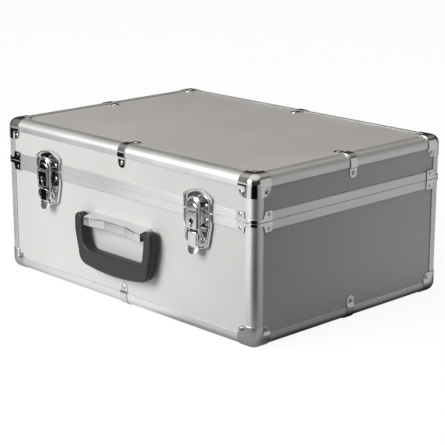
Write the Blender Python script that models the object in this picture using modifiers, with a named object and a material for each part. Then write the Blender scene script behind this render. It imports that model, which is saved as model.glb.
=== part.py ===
"""Aluminium-framed art supply box: a hinged case with two draw latches and a bail handle.

Metres, +Z up. The world origin is under the middle of the whole object, on the surface that it
stands on. Everything is placed from an empty at the bottom centre of the aluminium frame, so
positions below are in the frame's own coordinates: front is -Y, and the seam is at SEAM_Z.
"""

import math

import bmesh
import bpy
from mathutils import Matrix, Vector

MM = 0.001

# The frame's outside, without the corner caps
FRAME_W = 458 * MM
FRAME_D = 326 * MM
FRAME_H = 200 * MM
SEAM_Z = 146.3 * MM

# Clearances
GAP = 0.3 * MM
SEAM_GAP = 0.3 * MM
PIN_GAP = 0.3 * MM

# How far joined shapes run into each other, and how far a cutter runs past what it cuts
WELD = 0.1 * MM
OVERRUN = 2.0 * MM
MERGE = 0.001 * MM

# Panels and edge extrusions; depths are measured inwards from the frame's outside
FLANGE_T = 1.0 * MM
FLANGE_REACH = 14.6 * MM
FRAME_R = 9.0 * MM
PANEL_T = 4.0 * MM
PANEL_FACE = FLANGE_T + GAP
PANEL_BACK = PANEL_FACE + PANEL_T
PANEL_EDGE = PANEL_BACK + GAP
RUN_END = FLANGE_REACH + GAP

# Rim profiles on either side of the seam
LID_BAND_H = 10.5 * MM
BODY_BAND_H = 10.75 * MM
RIM_WEB_T = 1.6 * MM
RIM_LEG_T = 1.2 * MM
RIM_LEG_H = 8.0 * MM
RIM_LEG_SINK = 0.3 * MM
TONGUE_T = 1.0 * MM
TONGUE_RISE = 4.0 * MM
TONGUE_CLEAR = 0.4 * MM

# Linings
LINING_T = 1.0 * MM

# Corner caps, braces and clips; heights are measured outwards from the frame
CAP_PROUD = 1.6 * MM
CAP_T = 1.3 * MM
CAP_REACH = 25.5 * MM
CAP_EAR_R = 9.0 * MM
BRACE_T = 0.8 * MM
BRACE_REACH = 31.0 * MM
BRACE_BAND_H = 4.0 * MM
BRACE_EAR_LENGTH = 15.0 * MM
BRACE_EAR_H = 9.2 * MM
CLIP_T = 0.8 * MM
CLIP_W = 12.0 * MM
CLIP_REACH = 28.0 * MM

# Latches; depth is measured outwards from the frame's front
LATCH_X = 139.3 * MM
PLATE_T = 1.2 * MM
PLATE_FLOOR = GAP + PLATE_T
PLATE_WALL = 4.6 * MM
PLATE_WALL_T = 2.2 * MM
PLATE_HALF_W = 22.5 * MM
CATCH_BOTTOM_Z = 147.2 * MM
CATCH_SIDE_Z = 163.5 * MM
CATCH_TOP_Z = 171.5 * MM
NOSE_FACE = 6.4 * MM
NOSE_HALF_W = 7.0 * MM
NOSE_Z = (151.0 * MM, 158.0 * MM)
BASE_TOP_Z = 145.4 * MM
BASE_TAPER_Z = 129.0 * MM
BASE_SIDE_Z = 105.5 * MM
BASE_BOTTOM_Z = 100.5 * MM
BASE_FOOT_HALF_W = 17.0 * MM
LEVER_AXIS = (5.6 * MM, 122.0 * MM)
HASP_AXIS = (7.0 * MM, 114.0 * MM)
LEVER_PIN_R = 1.3 * MM
HASP_PIN_R = 1.3 * MM
HASP_PIN_X = (9.0 * MM, 12.4 * MM)
STEM_LAP = 1.0 * MM
LUG_X = (7.0 * MM, 8.5 * MM)
LUG_FACE = 8.4 * MM
CHEEK_X = (8.8 * MM, 10.2 * MM)
EAR_X = (10.6 * MM, 12.0 * MM)
EYE_R = 3.2 * MM
HASP_EYE_R = 4.0 * MM
EAR_TOP_Z = (123.5 * MM, 127.5 * MM)
HASP_BACK = 7.3 * MM
HASP_FACE = 10.0 * MM
HASP_LOW_Z = 126.5 * MM
HASP_SIDE_Z = 152.5 * MM
HASP_TOP_Z = 164.0 * MM
BLOCK_FACE = 13.0 * MM
BLOCK_HALF_W = 9.1 * MM
BLOCK_Z = (126.5 * MM, 145.6 * MM)
PAD_FACE = 11.4 * MM
PAD_HALF_W = 8.2 * MM
PAD_Z = (148.0 * MM, 151.5 * MM, 156.0 * MM)
LOCK_Z = 135.2 * MM
LOCK_R = 3.6 * MM
LOCK_BACK = 8.2 * MM
LOCK_CHAMFER = 0.4 * MM
KEY_SLOT_HALF_W = 0.5 * MM
KEY_SLOT_DEPTH = 2.5 * MM
KEY_SLOT_Z = (132.6 * MM, 136.8 * MM)
NECK_BACK = 10.6 * MM
NECK_FACE = 12.4 * MM
NECK_HALF_W = 7.2 * MM
NECK_Z = (111.0 * MM, 121.0 * MM)
CHEEK_FACE = 11.4 * MM
TAB_Z = (105.0 * MM, 96.3 * MM)
TAB_HALF_W = 8.9 * MM
TAB_FACE = 13.6 * MM
TAB_SIDE_Z = 102.0 * MM

# Handle
HANDLE_AXIS = (9.0 * MM, 98.0 * MM)
HANDLE_PIN_R = 2.5 * MM
HANDLE_PIN_X = (49.0 * MM, 66.1 * MM)
BRACKET_HALF_L = 54.0 * MM
BRACKET_Z = (93.0 * MM, 103.5 * MM)
BRACKET_BACK = -PANEL_FACE + GAP
BRACKET_MID = 11.5 * MM
BRACKET_FACE = 15.7 * MM
BRACKET_BENDS = (20.0 * MM, 42.0 * MM)
BRACKET_WALL = 1.5 * MM
BRACKET_POCKET_X = 22.5 * MM
GRIP_BACK = 2.0 * MM
GRIP_FACE = 16.0 * MM
GRIP_EDGE_R = 3.0 * MM
GRIP_HALF_W = 72.0 * MM
GRIP_FOOT_HALF_W = 66.0 * MM
GRIP_ARM_HALF_IN = 57.6 * MM
GRIP_BORE_END = 66.6 * MM
GRIP_TOP_Z = 106.6 * MM
GRIP_TAPER_Z = 84.0 * MM
GRIP_ARM_FOOT_Z = 88.0 * MM
GRIP_BOTTOM_Z = 37.5 * MM
GRIP_CORNER_R = 17.0 * MM
GRIP_CORNER_TURN = 75
GRIP_SAG = 4.0 * MM
GRIP_HOLE_Z = 62.5 * MM
GRIP_HOLE_R = 13.0 * MM
GRIP_HOLE_SPLAY = 2.0 * MM

# Rear hinges; depth is measured outwards from the frame's back
HINGE_X = 130.0 * MM
HINGE_W = 50.0 * MM
HINGE_AXIS = 4.4 * MM
KNUCKLE_R = 3.0 * MM
KNUCKLE_BORE = 1.6 * MM
HINGE_PIN_R = 1.3 * MM
HINGE_LEAF_H = 21.0 * MM
HINGE_LEAF_T = 0.9 * MM
HINGE_MID_W = 18.0 * MM
HINGE_HEAD_T = 0.8 * MM
HINGE_HEAD_R = 2.4 * MM
HINGE_WEB_Z = 2.4 * MM

# The whole object's reach beyond the frame, which sets where its middle is
FRONT_REACH = GRIP_FACE
REAR_REACH = HINGE_AXIS + KNUCKLE_R
FRAME_Y = (FRONT_REACH - REAR_REACH) / 2

ARC_STEPS = 4
ROUND_STEPS = 16
EMPTY_SIZE = 20 * MM

X, Y, Z = Vector((1, 0, 0)), Vector((0, 1, 0)), Vector((0, 0, 1))
SIDES = {"left": -1, "right": 1}
ENDS = {"front": -1, "back": 1}


def clear_scene():
    for thing in list(bpy.data.objects):
        bpy.data.objects.remove(thing, do_unlink=True)


clear_scene()
PARTS = bpy.data.collections.new("Art supply box")
CUTTERS = bpy.data.collections.new("Cutters")
bpy.context.scene.collection.children.link(PARTS)
bpy.context.scene.collection.children.link(CUTTERS)


# Materials


def material(name, colour, roughness, metallic):
    made = bpy.data.materials.new(name)
    made.use_nodes = True
    shader = made.node_tree.nodes["Principled BSDF"]
    shader.inputs["Base Color"].default_value = (*colour, 1)
    shader.inputs["Roughness"].default_value = roughness
    shader.inputs["Metallic"].default_value = metallic
    return made


LAMINATE = material("silver_laminate", (0.62, 0.62, 0.61), 0.45, 0.3)
ALUMINIUM = material("satin_aluminium", (0.74, 0.75, 0.75), 0.32, 1.0)
CHROME = material("polished_chrome", (0.80, 0.80, 0.80), 0.10, 1.0)
BLACK_PLASTIC = material("black_plastic", (0.04, 0.04, 0.042), 0.50, 0.0)
LINING = material("lining_foam", (0.05, 0.05, 0.055), 0.90, 0.0)
STEEL = material("zinc_steel", (0.58, 0.58, 0.58), 0.30, 1.0)


# Meshes


def finished(bm):
    """The mesh of a bmesh, with its faces turned outwards."""
    bmesh.ops.recalc_face_normals(bm, faces=bm.faces)
    mesh = bpy.data.meshes.new("piece")
    bm.to_mesh(mesh)
    bm.free()
    return mesh


def box_bmesh(low, high):
    bm = bmesh.new()
    bmesh.ops.create_cube(bm, size=1)
    size = Vector(high) - Vector(low)
    bmesh.ops.scale(bm, verts=bm.verts, vec=size)
    bmesh.ops.translate(bm, verts=bm.verts, vec=Vector(low) + size / 2)
    return bm


def box_mesh(low, high):
    return finished(box_bmesh(low, high))


def cylinder_mesh(radius, start, end):
    """A cylinder round the line from start to end."""
    along = Vector(end) - Vector(start)
    turn = along.to_track_quat("Z", "Y").to_matrix().to_4x4()
    place = Matrix.Translation((Vector(start) + Vector(end)) / 2) @ turn
    bm = bmesh.new()
    bmesh.ops.create_cone(
        bm,
        cap_ends=True,
        segments=ROUND_STEPS,
        radius1=radius,
        radius2=radius,
        depth=along.length,
        matrix=place,
    )
    return finished(bm)


def outline_mesh(loops, low, high, bevel=0.0):
    """Closed loops of (x, y) filled and extruded from z = low to z = high."""
    curve = bpy.data.curves.new("outline", "CURVE")
    curve.dimensions = "2D"
    curve.fill_mode = "BOTH"
    curve.extrude = (high - low) / 2 - bevel
    curve.bevel_depth = bevel
    curve.bevel_resolution = 1
    curve.offset = -bevel
    for loop in loops:
        spline = curve.splines.new("POLY")
        spline.points.add(len(loop) - 1)
        for point, (x, y) in zip(spline.points, loop):
            point.co = (x, y, 0, 1)
        spline.use_cyclic_u = True
    guide = bpy.data.objects.new("outline", curve)
    CUTTERS.objects.link(guide)
    graph = bpy.context.evaluated_depsgraph_get()
    made = bpy.data.meshes.new_from_object(guide.evaluated_get(graph))
    bpy.data.objects.remove(guide)
    bm = bmesh.new()
    bm.from_mesh(made)
    bmesh.ops.remove_doubles(bm, verts=bm.verts, dist=MERGE)
    bmesh.ops.translate(bm, verts=bm.verts, vec=(0, 0, (low + high) / 2))
    return finished(bm)


def arc(centre, radius, start, end, steps=ARC_STEPS):
    """Points on an arc from start to end, in degrees."""
    points = []
    for step in range(steps + 1):
        angle = math.radians(start + (end - start) * step / steps)
        points.append((centre[0] + radius * math.cos(angle), centre[1] + radius * math.sin(angle)))
    return points


def bow(half_width, side_y, crown_y, steps=2 * ARC_STEPS):
    """Points from the right to the left end of a shallow arch through (0, crown_y)."""
    rise = crown_y - side_y
    radius = (half_width**2 + rise**2) / (2 * rise)
    centre_y = crown_y - radius
    spread = math.asin(min(1, half_width / abs(radius)))
    points = []
    for step in range(steps + 1):
        angle = spread * (1 - 2 * step / steps)
        points.append((abs(radius) * math.sin(angle), centre_y + radius * math.cos(angle)))
    return points


# Objects


def place(name, mesh, parent, location=(0, 0, 0), finish=None, collection=None):
    """An object whose mesh is in its parent's coordinates, with its origin moved to location."""
    mesh.transform(Matrix.Translation(-Vector(location)))
    mesh.name = name
    made = bpy.data.objects.new(name, mesh)
    made.location = location
    made.parent = parent
    (collection or PARTS).objects.link(made)
    if finish:
        mesh.materials.append(finish)
    return made


def tool(name, mesh, parent):
    """A helper for a Boolean, which is never a piece of the object."""
    made = place(name, mesh, parent, collection=CUTTERS)
    made.hide_render = True
    made.display_type = "WIRE"
    return made


def combine(target, operation, name, mesh, parent):
    """Joins a shape to a piece, or cuts it away. The shape is in the coordinates of parent."""
    step = target.modifiers.new(name, "BOOLEAN")
    step.operation = operation
    step.solver = "EXACT"
    step.object = tool(f"{target.name}_{name}", mesh, parent)


def join(target, name, mesh, parent):
    combine(target, "UNION", name, mesh, parent)


def cut(target, name, mesh, parent):
    combine(target, "DIFFERENCE", name, mesh, parent)


def baked(source):
    """The finished mesh of an object, in its parent's coordinates, and the object removed."""
    bpy.context.view_layer.update()
    graph = bpy.context.evaluated_depsgraph_get()
    mesh = bpy.data.meshes.new_from_object(source.evaluated_get(graph))
    mesh.materials.clear()
    for step in source.modifiers:
        if step.type == "BOOLEAN":
            bpy.data.objects.remove(step.object)
    bpy.data.objects.remove(source)
    return mesh


def turned_to(mesh, along_x, along_y, along_z):
    """A copy of a mesh with its axes laid along three directions, mirrored where they ask for it."""
    copy = mesh.copy()
    turn = Matrix((along_x, along_y, along_z)).transposed()
    copy.transform(turn.to_4x4())
    if turn.determinant() < 0:
        copy.flip_normals()
    return copy


def moved(mesh, offset):
    mesh.transform(Matrix.Translation(offset))
    return mesh


def smooth(made, angle=30):
    made.data.shade_smooth()
    made.data.set_sharp_from_angle(angle=math.radians(angle))


def empty(name, parent, location):
    made = bpy.data.objects.new(name, None)
    made.location = location
    made.parent = parent
    made.empty_display_size = EMPTY_SIZE
    PARTS.objects.link(made)
    return made


FRAME = empty("frame_origin", None, (0, FRAME_Y, CAP_PROUD))
LID_AXIS = Vector((0, FRAME_D / 2 + HINGE_AXIS, SEAM_Z))
LID = empty("lid_axis", FRAME, LID_AXIS)


def lid_mesh(mesh):
    """A mesh in frame coordinates, moved to the lid's own."""
    return moved(mesh, -LID_AXIS)


def put(name, mesh, part, finish):
    """A fixed piece of the body or the lid, from a mesh in frame coordinates."""
    if part == "lid":
        return place(name, lid_mesh(mesh), LID, finish=finish)
    return place(name, mesh, FRAME, finish=finish)


# Panels


def make_panels():
    half_w, half_d = FRAME_W / 2 - PANEL_EDGE, FRAME_D / 2 - PANEL_EDGE
    out_w, out_d = FRAME_W / 2 - PANEL_FACE, FRAME_D / 2 - PANEL_FACE
    in_w, in_d = FRAME_W / 2 - PANEL_BACK, FRAME_D / 2 - PANEL_BACK
    at_rim = SEAM_GAP / 2 + RIM_WEB_T + GAP
    spans = {"body": (PANEL_EDGE, SEAM_Z - at_rim), "lid": (SEAM_Z + at_rim, FRAME_H - PANEL_EDGE)}
    flats = {
        ("body", "floor"): (PANEL_FACE, PANEL_BACK),
        ("lid", "top"): (FRAME_H - PANEL_BACK, FRAME_H - PANEL_FACE),
    }
    for (part, name), (low, high) in flats.items():
        mesh = box_mesh((-half_w, -half_d, low), (half_w, half_d, high))
        put(f"{part}_{name}_panel", mesh, part, LAMINATE)
    for part, (low, high) in spans.items():
        for name, sign in ENDS.items():
            near, far = sorted((sign * in_d, sign * out_d))
            mesh = box_mesh((-half_w, near, low), (half_w, far, high))
            put(f"{part}_{name}_panel", mesh, part, LAMINATE)
        for name, sign in SIDES.items():
            near, far = sorted((sign * in_w, sign * out_w))
            mesh = box_mesh((near, -half_d, low), (far, half_d, high))
            put(f"{part}_{name}_panel", mesh, part, LAMINATE)


# Edge extrusions


def angle_section(outside, inside, reach, radius, block=None):
    """An angle in (u, v), both counted inwards from the frame, with a round corner.

    The inside of the corner is round too, or is filled square as far as block.
    """
    centre = (outside + radius, outside + radius)
    corner = arc(centre, radius, 270, 180)
    if block:
        inner = [(inside, block), (block, block), (block, inside)]
    else:
        inner = arc(centre, radius - (inside - outside), 180, 270)
    return [(reach, outside), *corner, (outside, reach), (inside, reach), *inner, (reach, inside)]


def extrusion_mesh(low, high):
    """The quarter-round edge profile, run along z: its two flanges lie over the panels' edges."""
    section = angle_section(0, FLANGE_T, FLANGE_REACH, FRAME_R, block=PANEL_BACK)
    return outline_mesh([section], low, high)


def clip_mesh():
    section = angle_section(-CLIP_T, WELD, CLIP_REACH, FRAME_R + CLIP_T)
    return outline_mesh([section], -CLIP_W / 2, CLIP_W / 2)


def clipped_extrusion(name, length):
    made = place(name, extrusion_mesh(-length / 2, length / 2), None)
    join(made, "clip", clip_mesh(), None)
    return baked(made)


def make_edges():
    long_run = clipped_extrusion("long_run", FRAME_W - 2 * RUN_END)
    short_run = clipped_extrusion("short_run", FRAME_D - 2 * RUN_END)
    for part, height, inward in (("body", 0, Z), ("lid", FRAME_H, -Z)):
        for name, sign in ENDS.items():
            mesh = turned_to(long_run, -sign * Y, inward, X)
            moved(mesh, (0, sign * FRAME_D / 2, height))
            smooth(put(f"{part}_edge_{name}", mesh, part, ALUMINIUM))
        for name, sign in SIDES.items():
            mesh = turned_to(short_run, -sign * X, inward, Y)
            moved(mesh, (sign * FRAME_W / 2, 0, height))
            smooth(put(f"{part}_edge_{name}", mesh, part, ALUMINIUM))


def make_posts():
    spans = {
        "body": (RUN_END, SEAM_Z - SEAM_GAP / 2),
        "lid": (SEAM_Z + SEAM_GAP / 2, FRAME_H - RUN_END),
    }
    for part, (low, high) in spans.items():
        post = extrusion_mesh(low, high)
        for end, y_sign in ENDS.items():
            for side, x_sign in SIDES.items():
                mesh = turned_to(post, -x_sign * X, -y_sign * Y, Z)
                moved(mesh, (x_sign * FRAME_W / 2, y_sign * FRAME_D / 2, 0))
                smooth(put(f"{part}_post_{end}_{side}", mesh, part, ALUMINIUM))


# Rim profiles, with the corner braces riveted on


def rectangle(depth):
    """A loop that runs round the frame at a depth inside its outside."""
    half_w, half_d = FRAME_W / 2 - depth, FRAME_D / 2 - depth
    return [(-half_w, -half_d), (half_w, -half_d), (half_w, half_d), (-half_w, half_d)]


def rim_bar_mesh(band_h, length):
    """The outer band and the web under the panel's edge, run along z; (u, v) is (depth, height)."""
    low = SEAM_GAP / 2
    web = low + RIM_WEB_T
    deep = PANEL_EDGE + RIM_LEG_T / 2
    band = [(0, low), (deep, low), (deep, web), (FLANGE_T, web), (FLANGE_T, band_h), (0, band_h)]
    return outline_mesh([band], -length / 2, length / 2)


def brace_mesh():
    """The strap round a corner at the seam and its two ears; (x, y) is inwards, z away from the seam."""
    low = SEAM_GAP / 2 + 2 * WELD
    outer = -GAP - BRACE_T
    section = angle_section(outer, -GAP, BRACE_REACH, FRAME_R - outer)
    made = place("brace", outline_mesh([section], low, low + BRACE_BAND_H), None)
    start = BRACE_REACH - BRACE_EAR_LENGTH
    ear = box_mesh((start, outer, low), (BRACE_REACH, WELD, low + BRACE_EAR_H))
    join(made, "ear_1", ear, None)
    join(made, "ear_2", turned_to(ear, Y, X, Z), None)
    return baked(made)


def make_rim(part, up, band_h, brace):
    """The rim profile of one half. Up is 1 above the seam and -1 below it."""
    parent = LID if part == "lid" else FRAME
    shift = Vector((0, 0, SEAM_Z)) - (LID_AXIS if part == "lid" else Vector())
    upward = up * Z
    depth = PANEL_EDGE + RIM_LEG_T
    if part == "body":
        depth += TONGUE_CLEAR + TONGUE_T
    low = SEAM_GAP / 2 + RIM_LEG_SINK
    leg = outline_mesh([rectangle(PANEL_EDGE), rectangle(depth + WELD)], low, RIM_LEG_H)
    rim = place(f"{part}_rim_frame", moved(turned_to(leg, X, Y, upward), shift), parent, finish=ALUMINIUM)
    for name, sign in ENDS.items():
        bar = turned_to(rim_bar_mesh(band_h, FRAME_W - 2 * RUN_END), -sign * Y, upward, X)
        join(rim, f"bar_{name}", moved(bar, shift + Vector((0, sign * FRAME_D / 2, 0))), parent)
    for name, sign in SIDES.items():
        bar = turned_to(rim_bar_mesh(band_h, FRAME_D - 2 * RUN_END), -sign * X, upward, Y)
        join(rim, f"bar_{name}", moved(bar, shift + Vector((sign * FRAME_W / 2, 0, 0))), parent)
    for end, y_sign in ENDS.items():
        for side, x_sign in SIDES.items():
            corner = Vector((x_sign * FRAME_W / 2, y_sign * FRAME_D / 2, 0))
            strap = turned_to(brace, -x_sign * X, -y_sign * Y, upward)
            join(rim, f"brace_{end}_{side}", moved(strap, shift + corner), parent)
    if part == "body":
        tongue = outline_mesh([rectangle(depth - TONGUE_T), rectangle(depth)], -RIM_WEB_T, TONGUE_RISE)
        join(rim, "tongue", moved(tongue, shift), parent)


# Corner caps


def round_corner_bmesh(low, high, radius):
    """A cube whose three edges at its low corner are rounded."""
    bm = box_bmesh((low, low, low), (high, high, high))
    corner = min(bm.verts, key=lambda vertex: sum(vertex.co))
    bmesh.ops.bevel(
        bm,
        geom=list(corner.link_edges),
        offset=radius,
        offset_type="OFFSET",
        segments=ARC_STEPS,
        profile=0.5,
        affect="EDGES",
    )
    return bm


def cap_mesh():
    """A pressed cap over a corner; x, y and z count inwards from the frame's outside."""
    outer = -CAP_PROUD
    inner = outer + CAP_T
    shell = finished(round_corner_bmesh(outer, CAP_REACH, FRAME_R + CAP_PROUD))
    made = place("cap", shell, None)
    hollow = round_corner_bmesh(inner, CAP_REACH + OVERRUN, FRAME_R + CAP_PROUD - CAP_T)
    cut(made, "hollow", finished(hollow), None)
    centre = CAP_REACH - CAP_EAR_R
    far = CAP_REACH + OVERRUN
    bend = arc((centre, centre), CAP_EAR_R, 0, 90)
    beyond = [*bend, (centre, far), (far, far), (far, centre)]
    trim = outline_mesh([beyond], outer - OVERRUN, inner + OVERRUN)
    for number, axes in enumerate(((X, Y, Z), (Y, Z, X), (Z, X, Y))):
        cut(made, f"trim_{number}", turned_to(trim, *axes), None)
    return baked(made)


def make_caps():
    cap = cap_mesh()
    for level, height, inward in (("bottom", 0, Z), ("top", FRAME_H, -Z)):
        part = "lid" if level == "top" else "body"
        for end, y_sign in ENDS.items():
            for side, x_sign in SIDES.items():
                mesh = turned_to(cap, -x_sign * X, -y_sign * Y, inward)
                moved(mesh, (x_sign * FRAME_W / 2, y_sign * FRAME_D / 2, height))
                smooth(put(f"corner_cap_{level}_{end}_{side}", mesh, part, CHROME), 50)


# Linings


def make_linings():
    """An open tray in each half, which lies against the panels' inner faces."""
    half_w, half_d = FRAME_W / 2 - PANEL_EDGE, FRAME_D / 2 - PANEL_EDGE
    at_rim = RIM_LEG_H + GAP
    spans = {"body": (PANEL_EDGE, SEAM_Z - at_rim, 1), "lid": (SEAM_Z + at_rim, FRAME_H - PANEL_EDGE, -1)}
    for part, (low, high, mouth) in spans.items():
        bm = box_bmesh((-half_w, -half_d, low), (half_w, half_d, high))
        bmesh.ops.recalc_face_normals(bm, faces=bm.faces)
        open_side = [face for face in bm.faces if face.normal.z * mouth > 0.5]
        bmesh.ops.delete(bm, geom=open_side, context="FACES_ONLY")
        mesh = bpy.data.meshes.new("tray")
        bm.to_mesh(mesh)
        bm.free()
        tray = put(f"{part}_lining", mesh, part, LINING)
        wall = tray.modifiers.new("wall", "SOLIDIFY")
        wall.thickness = LINING_T
        wall.offset = -1
        wall.use_even_offset = True


# Latches. Their outlines are drawn in (x, z), and depth counts outwards from the frame's front.


def front_prism(loops, back, face, bevel=0.0):
    """Outlines in (x, z) made solid from depth back to depth face, in frame coordinates."""
    mesh = outline_mesh(loops, back, face, bevel)
    return moved(turned_to(mesh, X, Z, -Y), (0, -FRAME_D / 2, 0))


def front_box(x_span, depth_span, z_span):
    front = -FRAME_D / 2
    low = (x_span[0], front - depth_span[1], z_span[0])
    high = (x_span[1], front - depth_span[0], z_span[1])
    return box_mesh(low, high)


def front_point(x, axis):
    depth, height = axis
    return Vector((x, -FRAME_D / 2 - depth, height))


def cross_rod(radius, axis, left, right):
    """A rod along X at (depth, height)."""
    return cylinder_mesh(radius, front_point(left, axis), front_point(right, axis))


def both_sides(span):
    """A span in x and its mirror image."""
    return span, (-span[1], -span[0])


def widened(span):
    return span[0] - OVERRUN / 2, span[1] + OVERRUN / 2


def catch_outline(inset=0.0, low=CATCH_BOTTOM_Z):
    half = PLATE_HALF_W - inset
    crown = bow(half, CATCH_SIDE_Z - inset, CATCH_TOP_Z - inset)
    return [(half, low), *crown, (-half, low)]


def base_outline(inset=0.0, high=BASE_TOP_Z):
    half, foot = PLATE_HALF_W - inset, BASE_FOOT_HALF_W - inset
    keel = [(-x, z) for x, z in bow(foot, BASE_SIDE_Z + inset, BASE_BOTTOM_Z + inset)]
    return [(half, high), (half, BASE_TAPER_Z), *reversed(keel), (-half, BASE_TAPER_Z), (-half, high)]


def hasp_outline():
    half = EAR_X[1]
    return [(half, HASP_LOW_Z), *bow(half, HASP_SIDE_Z, HASP_TOP_Z), (-half, HASP_LOW_Z)]


def pad_outline():
    low, side, crown = PAD_Z
    return [(PAD_HALF_W, low), *bow(PAD_HALF_W, side, crown), (-PAD_HALF_W, low)]


def tab_outline():
    top, bottom = TAB_Z
    sweep = [(-x, z) for x, z in bow(TAB_HALF_W, TAB_SIDE_Z, bottom)]
    return [(TAB_HALF_W, top), *reversed(sweep), (-TAB_HALF_W, top)]


def profile_plate(points, x_span):
    """An outline in (depth, z) made solid across a span of x."""
    mesh = outline_mesh([points], x_span[0], x_span[1])
    return moved(turned_to(mesh, -Y, Z, X), (0, -FRAME_D / 2, 0))


def cheek_points():
    """The side of the lever: an eye at each pin, with the neck's web in front."""
    eye = arc(LEVER_AXIS, EYE_R, 180, 45, 2 * ARC_STEPS)
    pin = arc(HASP_AXIS, EYE_R, 270, 180)
    low, high = NECK_Z
    return [*eye, (CHEEK_FACE, high), (CHEEK_FACE, low), *pin]


def ear_points():
    """The side of the hasp: an eye round the lower pin, rising to the arched plate."""
    eye = arc(HASP_AXIS, HASP_EYE_R, 180, 360, 2 * ARC_STEPS)
    shoulder, top = EAR_TOP_Z
    return [*eye, (HASP_FACE - WELD, shoulder), (HASP_FACE - WELD, top), (HASP_BACK + WELD, top)]


def make_latch_base(name, home):
    base = place(f"latch_base_{name}", front_prism([base_outline()], GAP, PLATE_WALL), home, finish=CHROME)
    inside = base_outline(PLATE_WALL_T, BASE_TOP_Z + OVERRUN)
    cut(base, "tray", front_prism([inside], PLATE_FLOOR, PLATE_WALL + OVERRUN), home)
    levels = (LEVER_AXIS[1] - EYE_R, LEVER_AXIS[1] + EYE_R)
    for number, span in enumerate(both_sides(LUG_X)):
        join(base, f"lug_{number}", front_box(span, (PLATE_FLOOR - WELD, LUG_FACE), levels), home)
    end = CHEEK_X[1] + WELD
    join(base, "pin", cross_rod(LEVER_PIN_R, LEVER_AXIS, -end, end), home)


def make_latch_catch(name, x):
    """The plate on the lid: an arched tray, open at the seam, with a nose for the hasp."""
    shift = Vector((x, 0, 0))
    mesh = moved(front_prism([catch_outline()], GAP, PLATE_WALL), shift)
    catch = put(f"latch_catch_{name}", mesh, "lid", CHROME)
    inside = catch_outline(PLATE_WALL_T, CATCH_BOTTOM_Z - OVERRUN)
    tray = front_prism([inside], PLATE_FLOOR, PLATE_WALL + OVERRUN)
    cut(catch, "tray", lid_mesh(moved(tray, shift)), LID)
    nose = front_box((-NOSE_HALF_W, NOSE_HALF_W), (PLATE_FLOOR - WELD, NOSE_FACE), NOSE_Z)
    join(catch, "nose", lid_mesh(moved(nose, shift)), LID)


def make_latch_lever(name, home):
    """The lever: cheeks outside the base's lugs, a neck in front and a lift tab below."""
    pivot = front_point(0, LEVER_AXIS)
    neck = front_box((-CHEEK_X[1], CHEEK_X[1]), (NECK_BACK, NECK_FACE), NECK_Z)
    lever = place(f"latch_lever_{name}", neck, home, location=pivot, finish=CHROME)
    for number, span in enumerate(both_sides(CHEEK_X)):
        join(lever, f"cheek_{number}", profile_plate(cheek_points(), span), home)
        bore = cross_rod(LEVER_PIN_R + PIN_GAP, LEVER_AXIS, *widened(span))
        cut(lever, f"bore_{number}", bore, home)
    levels = (TAB_Z[0] - STEM_LAP, NECK_Z[0] + STEM_LAP)
    join(lever, "stem", front_box((-NECK_HALF_W, NECK_HALF_W), (NECK_BACK, NECK_FACE), levels), home)
    join(lever, "tab", front_prism([tab_outline()], NECK_BACK, TAB_FACE), home)
    for number, span in enumerate(both_sides(HASP_PIN_X)):
        join(lever, f"pin_{number}", cross_rod(HASP_PIN_R, HASP_AXIS, *span), home)


def make_latch_hasp(name, home):
    """The arched hasp: two ears on the lever's lower pin, a plate and the keyhole block."""
    pivot = front_point(0, HASP_AXIS)
    plate = front_prism([hasp_outline()], HASP_BACK, HASP_FACE)
    hasp = place(f"latch_hasp_{name}", plate, home, location=pivot, finish=CHROME)
    for number, span in enumerate(both_sides(EAR_X)):
        join(hasp, f"ear_{number}", profile_plate(ear_points(), span), home)
        bore = cross_rod(HASP_PIN_R + PIN_GAP, HASP_AXIS, *widened(span))
        cut(hasp, f"bore_{number}", bore, home)
    block = front_box((-BLOCK_HALF_W, BLOCK_HALF_W), (HASP_FACE - WELD, BLOCK_FACE), BLOCK_Z)
    join(hasp, "block", block, home)
    join(hasp, "pad", front_prism([pad_outline()], HASP_FACE - WELD, PAD_FACE), home)
    mouth = front_point(0, (BLOCK_FACE + OVERRUN, LOCK_Z))
    seat = front_point(0, (LOCK_BACK, LOCK_Z))
    cut(hasp, "lock_bore", cylinder_mesh(LOCK_R + PIN_GAP, seat, mouth), home)


def make_lock_cylinder(name, home):
    """A turned plug with a key slot across its face."""
    length = BLOCK_FACE - LOCK_BACK - GAP
    inner, shoulder = LOCK_R - LOCK_CHAMFER, length - LOCK_CHAMFER
    profile = [(0, length), (inner, length), (LOCK_R, shoulder), (LOCK_R, 0), (0, 0)]
    bm = bmesh.new()
    points = [bm.verts.new((x, 0, z)) for x, z in profile]
    for first, second in zip(points, points[1:]):
        bm.edges.new((first, second))
    mesh = bpy.data.meshes.new("profile")
    bm.to_mesh(mesh)
    bm.free()
    plug = place(f"lock_cylinder_{name}", mesh, home, finish=CHROME)
    plug.location = front_point(0, (LOCK_BACK + GAP, LOCK_Z))
    plug.rotation_euler = (math.radians(90), 0, 0)
    turn = plug.modifiers.new("turn", "SCREW")
    turn.axis = "Z"
    turn.steps = ROUND_STEPS
    turn.render_steps = ROUND_STEPS
    turn.use_merge_vertices = True
    turn.merge_threshold = MERGE
    turn.use_smooth_shade = False
    depths = (BLOCK_FACE - KEY_SLOT_DEPTH, BLOCK_FACE + OVERRUN)
    cut(plug, "key_slot", front_box((-KEY_SLOT_HALF_W, KEY_SLOT_HALF_W), depths, KEY_SLOT_Z), home)


def make_latches():
    for name, sign in SIDES.items():
        home = empty(f"latch_origin_{name}", FRAME, (sign * LATCH_X, 0, 0))
        make_latch_base(name, home)
        make_latch_catch(name, sign * LATCH_X)
        make_latch_lever(name, home)
        make_latch_hasp(name, home)
        make_lock_cylinder(name, home)


# Handle


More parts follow.
